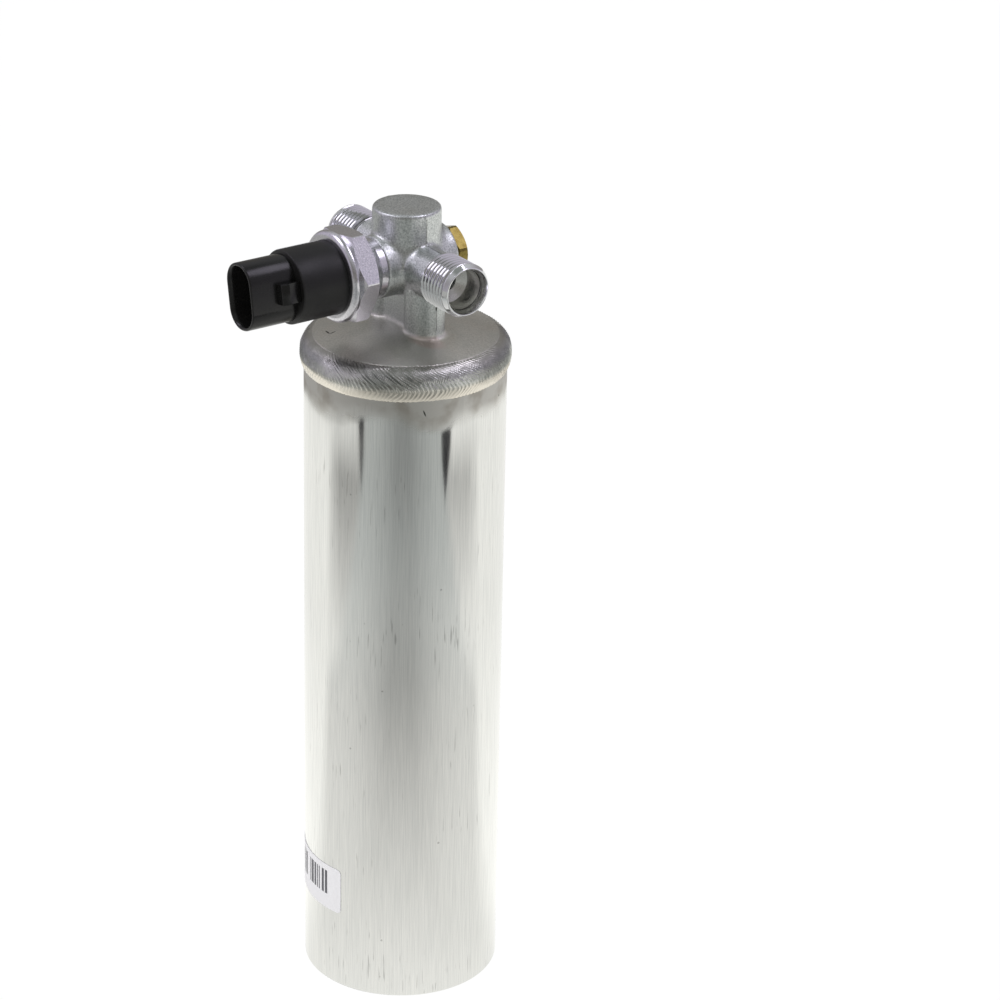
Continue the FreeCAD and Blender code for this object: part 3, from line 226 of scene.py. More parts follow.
def new_tree(name, sizes):
    """Geometry tree with a named input for each size, and its two ends."""
    tree = bpy.data.node_groups.new(name, "GeometryNodeTree")
    tree.interface.new_socket("Geometry", in_out="INPUT", socket_type="NodeSocketGeometry")
    for label, value in sizes.items():
        kind = "NodeSocketInt" if isinstance(value, int) else "NodeSocketFloat"
        tree.interface.new_socket(label, in_out="INPUT", socket_type=kind).default_value = value
    tree.interface.new_socket("Geometry", in_out="OUTPUT", socket_type="NodeSocketGeometry")
    return tree, add(tree, "NodeGroupInput").node.outputs, tree.nodes.new("NodeGroupOutput").inputs[0]


def in_scene(name, data):
    """New object in the scene, with its data."""
    item = bpy.data.objects.new(name, data)
    bpy.context.scene.collection.objects.link(item)
    return item


def grow(name, tree, sizes, base=None):
    """Runs a tree on a base mesh with its sizes, and keeps what it makes as a plain mesh at the origin."""
    seed = in_scene(name + "_seed", base or bpy.data.meshes.new(name + "_seed"))
    modifier = seed.modifiers.new("shape", "NODES")
    modifier.node_group = tree
    for item in tree.interface.items_tree:
        if item.in_out == "INPUT" and item.name in sizes:
            modifier[item.identifier] = sizes[item.name]
    graph = bpy.context.evaluated_depsgraph_get()
    mesh = bpy.data.meshes.new_from_object(seed.evaluated_get(graph), depsgraph=graph)
    bpy.data.objects.remove(seed)
    mesh.name = name
    finish = [item for item in mesh.materials if item][-1]
    mesh.materials.clear()
    mesh.materials.append(finish)
    mesh.polygons.foreach_set("material_index", [0] * len(mesh.polygons))
    return in_scene(name, mesh)


CAP_TOP = 209.0               # level of the disc's rim
CAP_FLAT = 27.5               # radius of the disc's domed top
DOME = 3.9                    # rise of the disc's middle over its rim
ARM_AXIS = 231.4
POST_TOP = 248.37
FRONT_FACE = -12.0
REAR_FACE = 12.4
FORGED_ARM = 18.7             # the forged neck ends inside the threaded end
DISC_RADIUS, REST_RADIUS = 27.6, 29.3
COLUMN_OFFSET, COLUMN_RADIUS, WEB_HALF = 9.7, 5.85, 4.0
POST_RADIUS, ARM_RADIUS, BOSS_RADIUS = 10.1, 7.2, 9.25
PASSAGE_RADIUS, PORT_RADIUS, RECESS_RADIUS = 3.2, 5.0, 6.9
PORT_DEPTH, RECESS_DEPTH = 9.0, 1.8
# Blasted forging: a soft grey sheen with a fine pitted grain, the disc warmer and with a painted brighter
# reflection in front
forged_aluminium, tree, shader, place = new_material("forged_aluminium", Metallic=1.0, Roughness=0.4)
SCRATCHES = (
    ((-9.5, -21.2, 210.2), (0, 0, -10), (1.8, 0.32, 1.0)),
    ((-7.8, -20.4, 210.3), (0, 0, 85), (1.2, 0.3, 1.0)),
)
GRIT = 0.5 * MM               # blasting marks, drawn a little coarse so that they show
STAIN = 9 * MM
SHADE_FULL, SHADE_GONE = 218 * MM, 226 * MM
blast = add(tree, "ShaderNodeTexNoise", {0: place, "Scale": 1 / GRIT, "Detail": 3.0, "Roughness": 0.65})
stain = add(tree, "ShaderNodeTexNoise", {0: place, "Scale": 1 / STAIN, "Detail": 3.0})
east, north, height = add(tree, "ShaderNodeSeparateXYZ", {0: place}).node.outputs
out = add(tree, "ShaderNodeVectorMath", {0: place, 1: (1, 1, 0)}, operation="MULTIPLY")
out = add(tree, "ShaderNodeVectorMath", {0: out, 1: out}, operation="DOT_PRODUCT")
# The disc has its own tones: it is what lies below a level that follows its dome
curve = DOME / CAP_FLAT ** 2 / MM
level = add(tree, "ShaderNodeMath", {0: out, 1: curve, 2: height}, operation="MULTIPLY_ADD")
low = add(tree, "ShaderNodeMapRange", {
    0: level, 1: (CAP_TOP + DOME + 0.4) * MM, 2: (CAP_TOP + DOME + 1.6) * MM, 3: 1.0, 4: 0.0,
})
# Painted shade: the pillar is painted darker towards its foot, where the arms and the switch shade it
metal = two_tones(tree, blast, "#adb2b0", "#e3e6e4")
shade = add(tree, "ShaderNodeMapRange", {0: height, 1: SHADE_FULL, 2: SHADE_GONE, 3: 0.35, 4: 0.0})
metal = add(tree, "ShaderNodeMix", {0: shade, 6: metal, 7: linear("#90958f")}, data_type="RGBA")
mellow = add(tree, "ShaderNodeMapRange", {0: stain, 1: 0.42, 2: 0.62, 3: 0.0, 4: 0.35})
# Painted reflection: the disc's front is painted brighter, standing in for the light it mirrors
front_painted_reflection = mark_at(tree, place, (15.5, -11.2, 211.0), (0, 0, 0), (19.0, 19.0, 9.0), 0.1)
front_painted_reflection = add(tree, "ShaderNodeMath", {0: front_painted_reflection, 1: 0.85}, operation="MULTIPLY")
flush = mark_at(tree, place, (15.5, -3.0, 211.5), (0, 0, 30), (6.5, 4.0, 4.0))
flush = add(tree, "ShaderNodeMath", {0: flush, 1: 0.5}, operation="MULTIPLY")
disc = two_tones(tree, blast, "#b8b6ae", "#d4d1c9")
for mask, tint in ((mellow, "#b3b8b0"), (front_painted_reflection, "#f4f2ea"), (flush, "#e0cbc0")):
    disc = add(tree, "ShaderNodeMix", {0: mask, 6: disc, 7: linear(tint)}, data_type="RGBA")
metal = add(tree, "ShaderNodeMix", {0: low, 6: metal, 7: disc}, data_type="RGBA")
# A hooked scratch on the disc, and a nick and a dark fold on the flash seam
cut = mark_at(tree, place, (15.6, -0.1, 221.2), (0, 0, 0), (1.0, 0.3, 0.9))
for scratch in SCRATCHES:
    cut = add(tree, "ShaderNodeMath", {0: cut, 1: mark_at(tree, place, *scratch)}, operation="MAXIMUM")
off_seam = add(tree, "ShaderNodeMath", {0: north}, operation="ABSOLUTE")
line = add(tree, "ShaderNodeMapRange", {0: off_seam, 1: 0.1 * MM, 2: 0.24 * MM, 3: 0.5, 4: 0.0})
for limit, side in ((CAP_TOP + DOME + 1.5, "GREATER_THAN"), (POST_TOP - 1.5, "LESS_THAN")):
    within = add(tree, "ShaderNodeMath", {0: height, 1: limit * MM}, operation=side)
    line = add(tree, "ShaderNodeMath", {0: line, 1: within}, operation="MULTIPLY")
cut = add(tree, "ShaderNodeMath", {0: cut, 1: line}, operation="MAXIMUM")
metal = add(tree, "ShaderNodeMix", {0: cut, 6: metal, 7: linear("#2c2b28")}, data_type="RGBA")
rough = add(tree, "ShaderNodeMapRange", {0: stain, 1: 0.3, 2: 0.7, 3: 0.3, 4: 0.42})
rough = add(tree, "ShaderNodeMath", {0: low, 1: 0.03, 2: rough}, operation="MULTIPLY_ADD")
wire_up(tree, shader, metal, rough, blast, 0.8, 0.09 * MM)

sizes = {"Columns X": 0, "Columns Y": 0, "Columns Z": 0, "Side blend": 2.8, "Pillar blend": 1.3,
         "Foot blend": 2.4, "Dome": DOME, "Post edge": 1.9, "Seam height": 0.2, "Seam width": 0.45,
         "Unevenness": 0.05, "Adaptivity": 0.006}
VOXEL = 0.27                  # in millimetres, as all of the forging's shape
low_corner = Vector((-30.0, -30.0, 196.9))
high_corner = Vector((30.0, 30.0, POST_TOP + 0.6))
for label, reach in zip(("Columns X", "Columns Y", "Columns Z"), high_corner - low_corner):
    sizes[label] = round(reach / VOXEL)
tree, given, result = new_tree("forging", sizes)
spot = add(tree, "ShaderNodeVectorMath", {0: add(tree, "GeometryNodeInputPosition"), "Scale": 1 / MM},
           operation="SCALE")
east, north, up = add(tree, "ShaderNodeSeparateXYZ", {0: spot}).node.outputs
ALONG_X, ALONG_Y, ALONG_Z = Vector((1, 0, 0)), Vector((0, 1, 0)), Vector((0, 0, 1))


def push_out(tree, skin, distance):
    """Moves a skin along its normals by a distance in millimetres."""
    push = add(tree, "ShaderNodeVectorMath", {
        0: add(tree, "GeometryNodeInputNormal"), "Scale": distance,
    }, operation="SCALE")
    push = add(tree, "ShaderNodeVectorMath", {0: push, "Scale": MM}, operation="SCALE")
    return add(tree, "GeometryNodeSetPosition", {"Geometry": skin, "Offset": push})


def end_tree(tree, result, skin, material):
    """Ends a geometry tree with real geometry of one material."""
    skin = add(tree, "GeometryNodeRealizeInstances", {"Geometry": skin})
    skin = add(tree, "GeometryNodeSetMaterial", {"Geometry": skin, "Material": material})
    tree.links.new(skin, result)


def bar(centre, axis, radius, half_length, edge=0.0):
    """Distance from a round bar, in millimetres, with its ends rounded by the edge."""
    offset = add(tree, "ShaderNodeVectorMath", {0: spot, 1: centre}, operation="SUBTRACT")
    across = add(tree, "ShaderNodeVectorMath", {0: offset, 1: Vector((1, 1, 1)) - axis}, operation="MULTIPLY")
    along = add(tree, "ShaderNodeVectorMath", {0: offset, 1: axis}, operation="MULTIPLY")
    across = add(tree, "ShaderNodeVectorMath", {0: across}, operation="LENGTH")
    along = add(tree, "ShaderNodeVectorMath", {0: along}, operation="LENGTH")
    wall = add(tree, "ShaderNodeMath", {0: across, 1: radius}, operation="SUBTRACT")
    end = add(tree, "ShaderNodeMath", {0: along, 1: half_length}, operation="SUBTRACT")
    return add(tree, "ShaderNodeMath", {0: wall, 1: end, 2: edge}, operation="SMOOTH_MAX")


# Each shape is a distance from its surface, negative inside, and a smooth minimum blends two of them
pillar_half = (ARM_AXIS - CAP_TOP + 2) / 2
pillar_middle = ARM_AXIS - pillar_half
near_column = bar((COLUMN_OFFSET, 0, pillar_middle), ALONG_Z, COLUMN_RADIUS, pillar_half)
far_column = bar((-COLUMN_OFFSET, 0, pillar_middle), ALONG_Z, COLUMN_RADIUS, pillar_half)
web = add(tree, "ShaderNodeMath", {0: up, 1: ARM_AXIS}, operation="SUBTRACT")
for along, half in ((east, COLUMN_OFFSET), (north, WEB_HALF)):
    wall = add(tree, "ShaderNodeMath", {0: along}, operation="ABSOLUTE")
    wall = add(tree, "ShaderNodeMath", {0: wall, 1: half}, operation="SUBTRACT")
    web = add(tree, "ShaderNodeMath", {0: web, 1: wall}, operation="MAXIMUM")
boss_half = (REAR_FACE - FRONT_FACE) / 2
bosses = bar((0, FRONT_FACE + boss_half, ARM_AXIS), ALONG_Y, BOSS_RADIUS, boss_half, 0.8)
post = bar((0, 0, ARM_AXIS + 15), ALONG_Z, POST_RADIUS, 17)    # runs past its top, which is cut later
arms = bar((0, 0, ARM_AXIS), ALONG_X, ARM_RADIUS, FORGED_ARM)
narrow, wide = given["Pillar blend"], given["Side blend"]
pillar, shape = near_column, arms
for part in (web, far_column):
    pillar = add(tree, "ShaderNodeMath", {0: pillar, 1: part, 2: narrow}, operation="SMOOTH_MIN")
for part, width in ((bosses, wide), (post, wide), (pillar, narrow)):
    shape = add(tree, "ShaderNodeMath", {0: shape, 1: part, 2: width}, operation="SMOOTH_MIN")
from_axis = add(tree, "ShaderNodeVectorMath", {0: spot, 1: (1, 1, 0)}, operation="MULTIPLY")
from_axis = add(tree, "ShaderNodeVectorMath", {0: from_axis}, operation="LENGTH")
share = add(tree, "ShaderNodeMath", {0: from_axis, 1: CAP_FLAT}, operation="DIVIDE")
fall = add(tree, "ShaderNodeMath", {0: share, 1: share}, operation="MULTIPLY")
fall = add(tree, "ShaderNodeMath", {0: fall, 1: given["Dome"]}, operation="MULTIPLY")
crown = add(tree, "ShaderNodeMath", {0: given["Dome"], 1: CAP_TOP})
crown = add(tree, "ShaderNodeMath", {0: crown, 1: fall}, operation="SUBTRACT")
crown = add(tree, "ShaderNodeMath", {0: up, 1: crown}, operation="SUBTRACT")
disc = bar((0, 0, 206.25), ALONG_Z, DISC_RADIUS, 8.75)
disc = add(tree, "ShaderNodeMath", {0: disc, 1: crown}, operation="MAXIMUM")
rest = bar((0, 0, 202.2), ALONG_Z, REST_RADIUS, 1.2)
disc = add(tree, "ShaderNodeMath", {0: disc, 1: rest}, operation="MINIMUM")
shape = add(tree, "ShaderNodeMath", {0: shape, 1: disc, 2: given["Foot blend"]}, operation="SMOOTH_MIN")
# Flash seam in the plane of the arms, above the cap
ratio = add(tree, "ShaderNodeMath", {0: north, 1: given["Seam width"]}, operation="DIVIDE")
ratio = add(tree, "ShaderNodeMath", {0: ratio, 1: ratio}, operation="MULTIPLY")
ratio = add(tree, "ShaderNodeMath", {0: ratio, 1: -1.0}, operation="MULTIPLY")
ridge = add(tree, "ShaderNodeMath", {0: ratio}, operation="EXPONENT")
ridge = add(tree, "ShaderNodeMath", {0: ridge, 1: given["Seam height"]}, operation="MULTIPLY")
above = add(tree, "ShaderNodeMapRange", {0: up, 1: CAP_TOP + 1.5, 2: CAP_TOP + 4, 3: 0.0, 4: 1.0})
ridge = add(tree, "ShaderNodeMath", {0: ridge, 1: above}, operation="MULTIPLY")
shape = add(tree, "ShaderNodeMath", {0: shape, 1: ridge}, operation="SUBTRACT")
# The post's top is sheared flat and its edge is rounded over
top = add(tree, "ShaderNodeMath", {0: up, 1: POST_TOP}, operation="SUBTRACT")
shape = add(tree, "ShaderNodeMath", {0: shape, 1: top, 2: given["Post edge"]}, operation="SMOOTH_MAX")
# Drilled passages, the two screwed ports and the seal's recess
for hole in (
    bar((20, 0, ARM_AXIS), ALONG_X, PASSAGE_RADIUS, 10.3),
    bar((-20, 0, ARM_AXIS), ALONG_X, PASSAGE_RADIUS, 10.3),
    bar((0, FRONT_FACE, ARM_AXIS), ALONG_Y, PORT_RADIUS, PORT_DEPTH),
    bar((0, FRONT_FACE, ARM_AXIS), ALONG_Y, RECESS_RADIUS, RECESS_DEPTH),
    bar((0, REAR_FACE, ARM_AXIS), ALONG_Y, PORT_RADIUS, PORT_DEPTH),
):
    hollow = add(tree, "ShaderNodeMath", {0: hole, 1: -1.0}, operation="MULTIPLY")
    shape = add(tree, "ShaderNodeMath", {0: shape, 1: hollow}, operation="MAXIMUM")
density = add(tree, "ShaderNodeMath", {0: 1.0, 1: shape}, operation="SUBTRACT")
volume = add(tree, "GeometryNodeVolumeCube", {
    "Density": density, "Min": low_corner * MM, "Max": high_corner * MM, "Resolution X": given["Columns X"],
    "Resolution Y": given["Columns Y"], "Resolution Z": given["Columns Z"],
})
skin = add(tree, "GeometryNodeVolumeToMesh", {
    "Volume": volume, "Threshold": 1.0, "Adaptivity": given["Adaptivity"],
})
ripple = add(tree, "ShaderNodeTexNoise", {"Scale": 1 / (2.2 * MM), "Detail": 2.0}, noise_dimensions="3D")
ripple = add(tree, "ShaderNodeMath", {0: ripple, 1: 0.5}, operation="SUBTRACT")
ripple = add(tree, "ShaderNodeMath", {0: ripple, 1: given["Unevenness"]}, operation="MULTIPLY")
skin = add(tree, "GeometryNodeSetShadeSmooth", {"Geometry": push_out(tree, skin, ripple)})
end_tree(tree, result, skin, forged_aluminium)
forging = grow("head_forging", tree, sizes)
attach(forging, "drier")
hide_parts("head")


# Threaded ends
# Each arm is turned from the forging: an M16 x 1.5 thread that runs out before a chamfered nose, and a bore
# with a bevelled lip and a drilled cone. The cuts are fresh metal, so they mirror the room sharply.

def on_arm(turn):
    """Seat of a threaded end: its own Z runs out along the arm."""
    return (Matrix.Rotation(turn, 4, "Z") @ Matrix.Translation((0, 0, ARM_AXIS * MM))
            @ Matrix.Rotation(math.radians(90), 4, "Y"))


def turned(profile, segments):
    """Mesh of an outline of (radius, height) pairs turned round Z."""
    shape = bmesh.new()
    rings = []
    for step in range(segments):
        angle = 2 * math.pi * step / segments
        rings.append([shape.verts.new((r * math.cos(angle), r * math.sin(angle), z)) for r, z in profile])
    for here, there in zip(rings, rings[1:] + rings[:1]):
        for low, high in zip(range(len(profile) - 1), range(1, len(profile))):
            shape.faces.new((here[low], there[low], there[high], here[high]))
    bmesh.ops.remove_doubles(shape, verts=shape.verts, dist=1e-7)
    mesh = bpy.data.meshes.new("turned")
    shape.to_mesh(mesh)
    shape.free()
    return mesh


PITCH = 1.5
ROWS = 16                     # rows of the mesh in one pitch
ROUND = 160                   # and round the thread
THREAD_FROM, THREAD_TO = 18.1, 30.95
UNSHADED_FROM = 28.9 * MM        # way out along the arm
ROOT_SHADE_FULL, ROOT_SHADE_GONE = 7.15 * MM, 7.6 * MM
sizes = {"Pitch": PITCH, "Crest": 8.0, "Depth": 0.92, "Start": THREAD_FROM, "End": THREAD_TO, "Nose": 7.3,
         "Run-out": 28.7, "Rows": int((THREAD_TO - THREAD_FROM + PITCH) / PITCH * ROWS) + 2, "Round": ROUND}
# Fresh turned cuts: nearly a mirror, with fine rings round the arm and the thread's roots painted black as
# shade
machined_aluminium, tree, shader, place = new_material("turned_aluminium", Metallic=1.0, Roughness=0.16)
# Painted shade: the thread's roots are painted dark, standing in for the shade in the grooves; the nose
# beyond the run-out is left unshaded
out = add(tree, "ShaderNodeVectorMath", {0: place, 1: (0, 0, ARM_AXIS * MM)}, operation="SUBTRACT")
out = add(tree, "ShaderNodeVectorMath", {0: out, 1: (0, 1, 1)}, operation="MULTIPLY")
out = add(tree, "ShaderNodeVectorMath", {0: out}, operation="LENGTH")
root_shade = add(tree, "ShaderNodeMapRange", {0: out, 1: ROOT_SHADE_FULL, 2: ROOT_SHADE_GONE, 3: 0.9, 4: 0.0})
travel = add(tree, "ShaderNodeSeparateXYZ", {0: place})
travel = add(tree, "ShaderNodeMath", {0: travel}, operation="ABSOLUTE")
cut_part = add(tree, "ShaderNodeMath", {0: travel, 1: UNSHADED_FROM}, operation="LESS_THAN")
root_shade = add(tree, "ShaderNodeMath", {0: root_shade, 1: cut_part}, operation="MULTIPLY")
metal = two_tones(tree, root_shade, "#e6e7e8", "#2b2b2b", 0.0, 1.0)
lathe = lumps(tree, place, (0.12 * MM, 3 * MM, 3 * MM), 2.0)
rough = add(tree, "ShaderNodeMapRange", {0: lathe, 1: 0.3, 2: 0.7, 3: 0.06, 4: 0.15})
wire_up(tree, shader, metal, rough, lathe, 0.2, 0.01 * MM)

# Drilled bore: duller than the turned nose, with coarse rings from the drill
drilled_aluminium, tree, shader, place = new_material(
    "drilled_aluminium", Metallic=1.0, Roughness=0.32, Base_Color=linear("#e0e0dc"))
drill = lumps(tree, place, (0.25 * MM, 2 * MM, 2 * MM))
rough = add(tree, "ShaderNodeMapRange", {0: drill, 1: 0.3, 2: 0.7, 3: 0.24, 4: 0.4})
tree.links.new(rough, shader.inputs["Roughness"])
bump = add(tree, "ShaderNodeBump", {"Strength": 0.5, "Distance": 0.03 * MM, "Height": drill})
tree.links.new(bump, shader.inputs["Normal"])

tree, given, result = new_tree("threaded_end", sizes)
columns = add(tree, "ShaderNodeMath", {0: given["Round"], 1: 1.0})
grid = add(tree, "GeometryNodeMeshGrid", {
    "Size X": 1.0, "Size Y": 1.0, "Vertices X": columns, "Vertices Y": given["Rows"],
})
around, along, _ = add(tree, "ShaderNodeSeparateXYZ", {0: grid.node.outputs["UV Map"]}).node.outputs
last = add(tree, "ShaderNodeMath", {0: given["Rows"], 1: 1.0}, operation="SUBTRACT")
row = add(tree, "ShaderNodeMath", {0: along, 1: last}, operation="MULTIPLY")
row = add(tree, "ShaderNodeMath", {0: row}, operation="ROUND")
phase = add(tree, "ShaderNodeMath", {0: row, 1: float(ROWS)}, operation="DIVIDE")
lead = add(tree, "ShaderNodeMath", {0: phase, 1: around}, operation="SUBTRACT")
travel = add(tree, "ShaderNodeMath", {
    0: lead, 1: given["Pitch"], 2: given["Start"],
}, operation="MULTIPLY_ADD")
travel = add(tree, "ShaderNodeClamp", {0: travel, 1: given["Start"], 2: given["End"]})
part = add(tree, "ShaderNodeMath", {0: phase}, operation="FRACT")
part = add(tree, "ShaderNodeMath", {0: part, 1: 0.5}, operation="SUBTRACT")
part = add(tree, "ShaderNodeMath", {0: part}, operation="ABSOLUTE")
flank = add(tree, "ShaderNodeMapRange", {0: part, 1: 1 / 16, 2: 6 / 16, 3: 0.0, 4: 1.0})
past = add(tree, "ShaderNodeMath", {0: travel, 1: given["Run-out"]}, operation="SUBTRACT")
fade = add(tree, "ShaderNodeMapRange", {0: past, 1: 0.0, 2: 0.8, 3: 1.0, 4: 0.0})
flank = add(tree, "ShaderNodeMath", {0: flank, 1: fade}, operation="MULTIPLY")
fall = add(tree, "ShaderNodeMath", {0: flank, 1: given["Depth"]}, operation="MULTIPLY")
reach = add(tree, "ShaderNodeMath", {0: given["Crest"], 1: fall}, operation="SUBTRACT")
root = add(tree, "ShaderNodeMath", {0: given["Crest"], 1: given["Depth"]}, operation="SUBTRACT")
for edge, slope, foot in ((given["Start"], 1.0, root), (given["End"], -0.62, given["Nose"])):
    inward = add(tree, "ShaderNodeMath", {0: travel, 1: edge}, operation="SUBTRACT")
    chamfer = add(tree, "ShaderNodeMath", {0: inward, 1: slope, 2: foot}, operation="MULTIPLY_ADD")
    reach = add(tree, "ShaderNodeMath", {0: reach, 1: chamfer}, operation="MINIMUM")
angle = add(tree, "ShaderNodeMath", {0: around, 1: 2 * math.pi}, operation="MULTIPLY")
point = add(tree, "ShaderNodeCombineXYZ", {2: travel}).node
for socket, wave in enumerate(("COSINE", "SINE")):
    turn = add(tree, "ShaderNodeMath", {0: angle}, operation=wave)
    turn = add(tree, "ShaderNodeMath", {0: turn, 1: reach}, operation="MULTIPLY")
    tree.links.new(turn, point.inputs[socket])
point = add(tree, "ShaderNodeVectorMath", {0: point.outputs[0], "Scale": MM}, operation="SCALE")
thread = add(tree, "GeometryNodeSetPosition", {"Geometry": grid, "Position": point})
join = tree.nodes.new("GeometryNodeJoinGeometry")
tree.links.new(thread, join.inputs[0])
tree.links.new(given["Geometry"], join.inputs[0])
skin = add(tree, "GeometryNodeMergeByDistance", {"Geometry": join.outputs[0], "Distance": 2e-6})
end_tree(tree, result, skin, machined_aluminium)
ROOT = sizes["Crest"] - sizes["Depth"]
SEAT_END = 28.5               # foot of the bevelled lip
BORE_END = 22.3
BORE = 6.0                    # radius; the drill's point is a cone of 118 degrees
CONE_END = BORE_END - (BORE - PASSAGE_RADIUS) / math.tan(math.radians(59))
nose = [(sizes["Nose"], THREAD_TO), (7.22, 31.14), (7.08, 31.26), (6.93, 31.3), (6.82, 31.26), (6.74, 31.1),
        (BORE, SEAT_END), (BORE, BORE_END), (PASSAGE_RADIUS, CONE_END), (PASSAGE_RADIUS, THREAD_FROM),
        (ROOT, THREAD_FROM)]
BORE_SKIN = 6.02 * MM         # faces inside this radius are drilled
for name, turn in (("inlet_thread", 0.0), ("outlet_thread", math.pi)):
    end = grow(name, tree, sizes, turned([(r * MM, z * MM) for r, z in nose], ROUND))
    shape = bmesh.new()
    shape.from_mesh(end.data)
    bmesh.ops.dissolve_degenerate(shape, edges=shape.edges, dist=1e-6)
    bmesh.ops.recalc_face_normals(shape, faces=shape.faces)
    shape.to_mesh(end.data)
    shape.free()
    end.data.materials.append(drilled_aluminium)
    for face in end.data.polygons:
        if face.center.xy.length < BORE_SKIN and face.center.z < SEAT_END * MM:
            face.material_index = 1
    end.data.transform(on_arm(turn))
    end.data.shade_smooth()
    end.data.set_sharp_from_angle(angle=math.radians(24))
    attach(end, "drier")
    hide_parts("head")


# Weld bead
# Filler run round the joint of cap and can in one pass. Each ripple is a crescent that trails far back over
# the shoulder and a little over the lower lip. The shoulder was wire brushed, and the lip is a paler grey.

def arc(start, end, radius, steps):
    """Points of an arc that swells to the right of travel, from start to just before the end."""
    start, end = Vector(start), Vector(end)
    chord = end - start
    side = Vector((chord.y, -chord.x)).normalized()
    drop = math.sqrt(radius ** 2 - (chord.length / 2) ** 2)
    centre = (start + end) / 2 - side * drop
    first = math.atan2(*(start - centre).yx)
    sweep = 2 * math.asin(chord.length / 2 / radius)
    turns = [first + sweep * step / steps for step in range(steps)]
    return [(centre.x + radius * math.cos(turn), centre.y + radius * math.sin(turn)) for turn in turns]


def object_from(name, mesh, material, seat=Matrix(), sharp=35):
    """Object of a finished mesh: seated, outward, smooth but for its sharp edges, with its material."""
    shape = bmesh.new()
    shape.from_mesh(mesh)
    bmesh.ops.recalc_face_normals(shape, faces=shape.faces)
    shape.to_mesh(mesh)
    shape.free()
    mesh.transform(seat)
    mesh.name = name
    mesh.materials.clear()
    mesh.materials.append(material)
    mesh.shade_smooth()
    mesh.set_sharp_from_angle(angle=math.radians(sharp))
    return in_scene(name, mesh)


WELD_CROWN = 204.8            # widest level of the bead
WELD_RADIUS = 31.0            # there
WELD_APEX = 202.3             # level where a ripple runs furthest ahead
BRUSH_GRAIN = 1.1 * MM
DULL_PATCH = 12 * MM
STROKE_WIDTH, STROKE_LENGTH = 0.8 * MM, 4 * MM
# Wire brushed weld: a satin sheen, dull in patches, with a matt grey toe against the cap; dark strokes on its
# front are painted shade, and a few tinted zones are painted shade and painted reflection
weld_aluminium, tree, shader, place = new_material("brushed_weld", Metallic=1.0, Roughness=0.34)
streak = add(tree, "ShaderNodeTexNoise", {0: place, "Scale": 1 / BRUSH_GRAIN, "Detail": 4.0})
cloud = add(tree, "ShaderNodeTexNoise", {0: place, "Scale": 1 / DULL_PATCH, "Detail": 3.0})
patch = add(tree, "ShaderNodeMapRange", {0: cloud, 1: 0.45, 2: 0.58, 3: 0.0, 4: 0.45})
level = add(tree, "ShaderNodeSeparateXYZ", {0: place}).node.outputs["Z"]
lip = add(tree, "ShaderNodeMapRange", {0: level, 1: 201.6 * MM, 2: 203.2 * MM, 3: 1.0, 4: 0.0})
layers = [(patch, "#929893"), (lip, "#e6e0d4")]
# Painted light: the lip is painted darker in front as painted shade, and the shoulder has a painted brighter
# reflection at the front left and painted shade at the right
for centre, reach, tint in (
    ((25.0, -18.0, 201.3), (19.0, 19.0, 4.0), "#aaa79e"),
    ((10.0, -28.5, 206.0), (12.0, 12.0, 6.0), "#f6f6f2"),
    ((29.0, 11.2, 206.0), (12.0, 12.0, 6.0), "#90908c"),
):
    painted_light_zone = mark_at(tree, place, centre, (0, 0, 0), reach, 0.2)
    painted_light_zone = add(tree, "ShaderNodeMath", {0: painted_light_zone, 1: 0.75}, operation="MULTIPLY")
    layers.append((painted_light_zone, tint))
# Painted shade: dark strokes that run aslant up the upper shoulder, standing in for the shade of the ripples,
# thickest on the front
slope = add(tree, "ShaderNodeSeparateXYZ", {0: place})
slope = add(tree, "ShaderNodeMath", {0: slope.node.outputs["Y"], 1: slope}, operation="ARCTAN2")
slope = add(tree, "ShaderNodeMath", {0: slope, 1: WELD_RADIUS * MM}, operation="MULTIPLY")
slope = add(tree, "ShaderNodeMath", {0: level, 1: 1.5, 2: slope}, operation="MULTIPLY_ADD")
ripple_shade_stroke = add(tree, "ShaderNodeCombineXYZ", {0: slope, 1: level})
ripple_shade_stroke = lumps(tree, ripple_shade_stroke, (STROKE_WIDTH, STROKE_LENGTH, 1.0))
ripple_shade_stroke = add(tree, "ShaderNodeMapRange", {0: ripple_shade_stroke, 1: 0.47, 2: 0.6, 3: 0.0, 4: 0.75})
upper = add(tree, "ShaderNodeMapRange", {0: level, 1: 202.8 * MM, 2: 204.2 * MM, 3: 0.0, 4: 1.0})
ripple_shade_stroke = add(tree, "ShaderNodeMath", {0: ripple_shade_stroke, 1: upper}, operation="MULTIPLY")
painted_light_zone = mark_at(tree, place, (20.2, -22.0, 205.5), (0, 0, 0), (17.0, 17.0, 7.0), 0.4)
ripple_shade_stroke = add(tree, "ShaderNodeMath", {0: ripple_shade_stroke, 1: painted_light_zone}, operation="MULTIPLY")
toe = add(tree, "ShaderNodeMapRange", {0: level, 1: 206.4 * MM, 2: 208.8 * MM, 3: 0.0, 4: 0.85})
metal = two_tones(tree, streak, "#b2b4b0", "#d2d3cf")
for mask, tint in layers + [(ripple_shade_stroke, "#545b56"), (toe, "#aeaca5")]:
    metal = add(tree, "ShaderNodeMix", {0: mask, 6: metal, 7: linear(tint)}, data_type="RGBA")
rough = add(tree, "ShaderNodeMapRange", {0: cloud, 1: 0.35, 2: 0.65, 3: 0.24, 4: 0.38})
rough = add(tree, "ShaderNodeMath", {0: lip, 1: -0.12, 2: rough}, operation="MULTIPLY_ADD")
wire_up(tree, shader, metal, rough, streak, 0.3, 0.02 * MM)

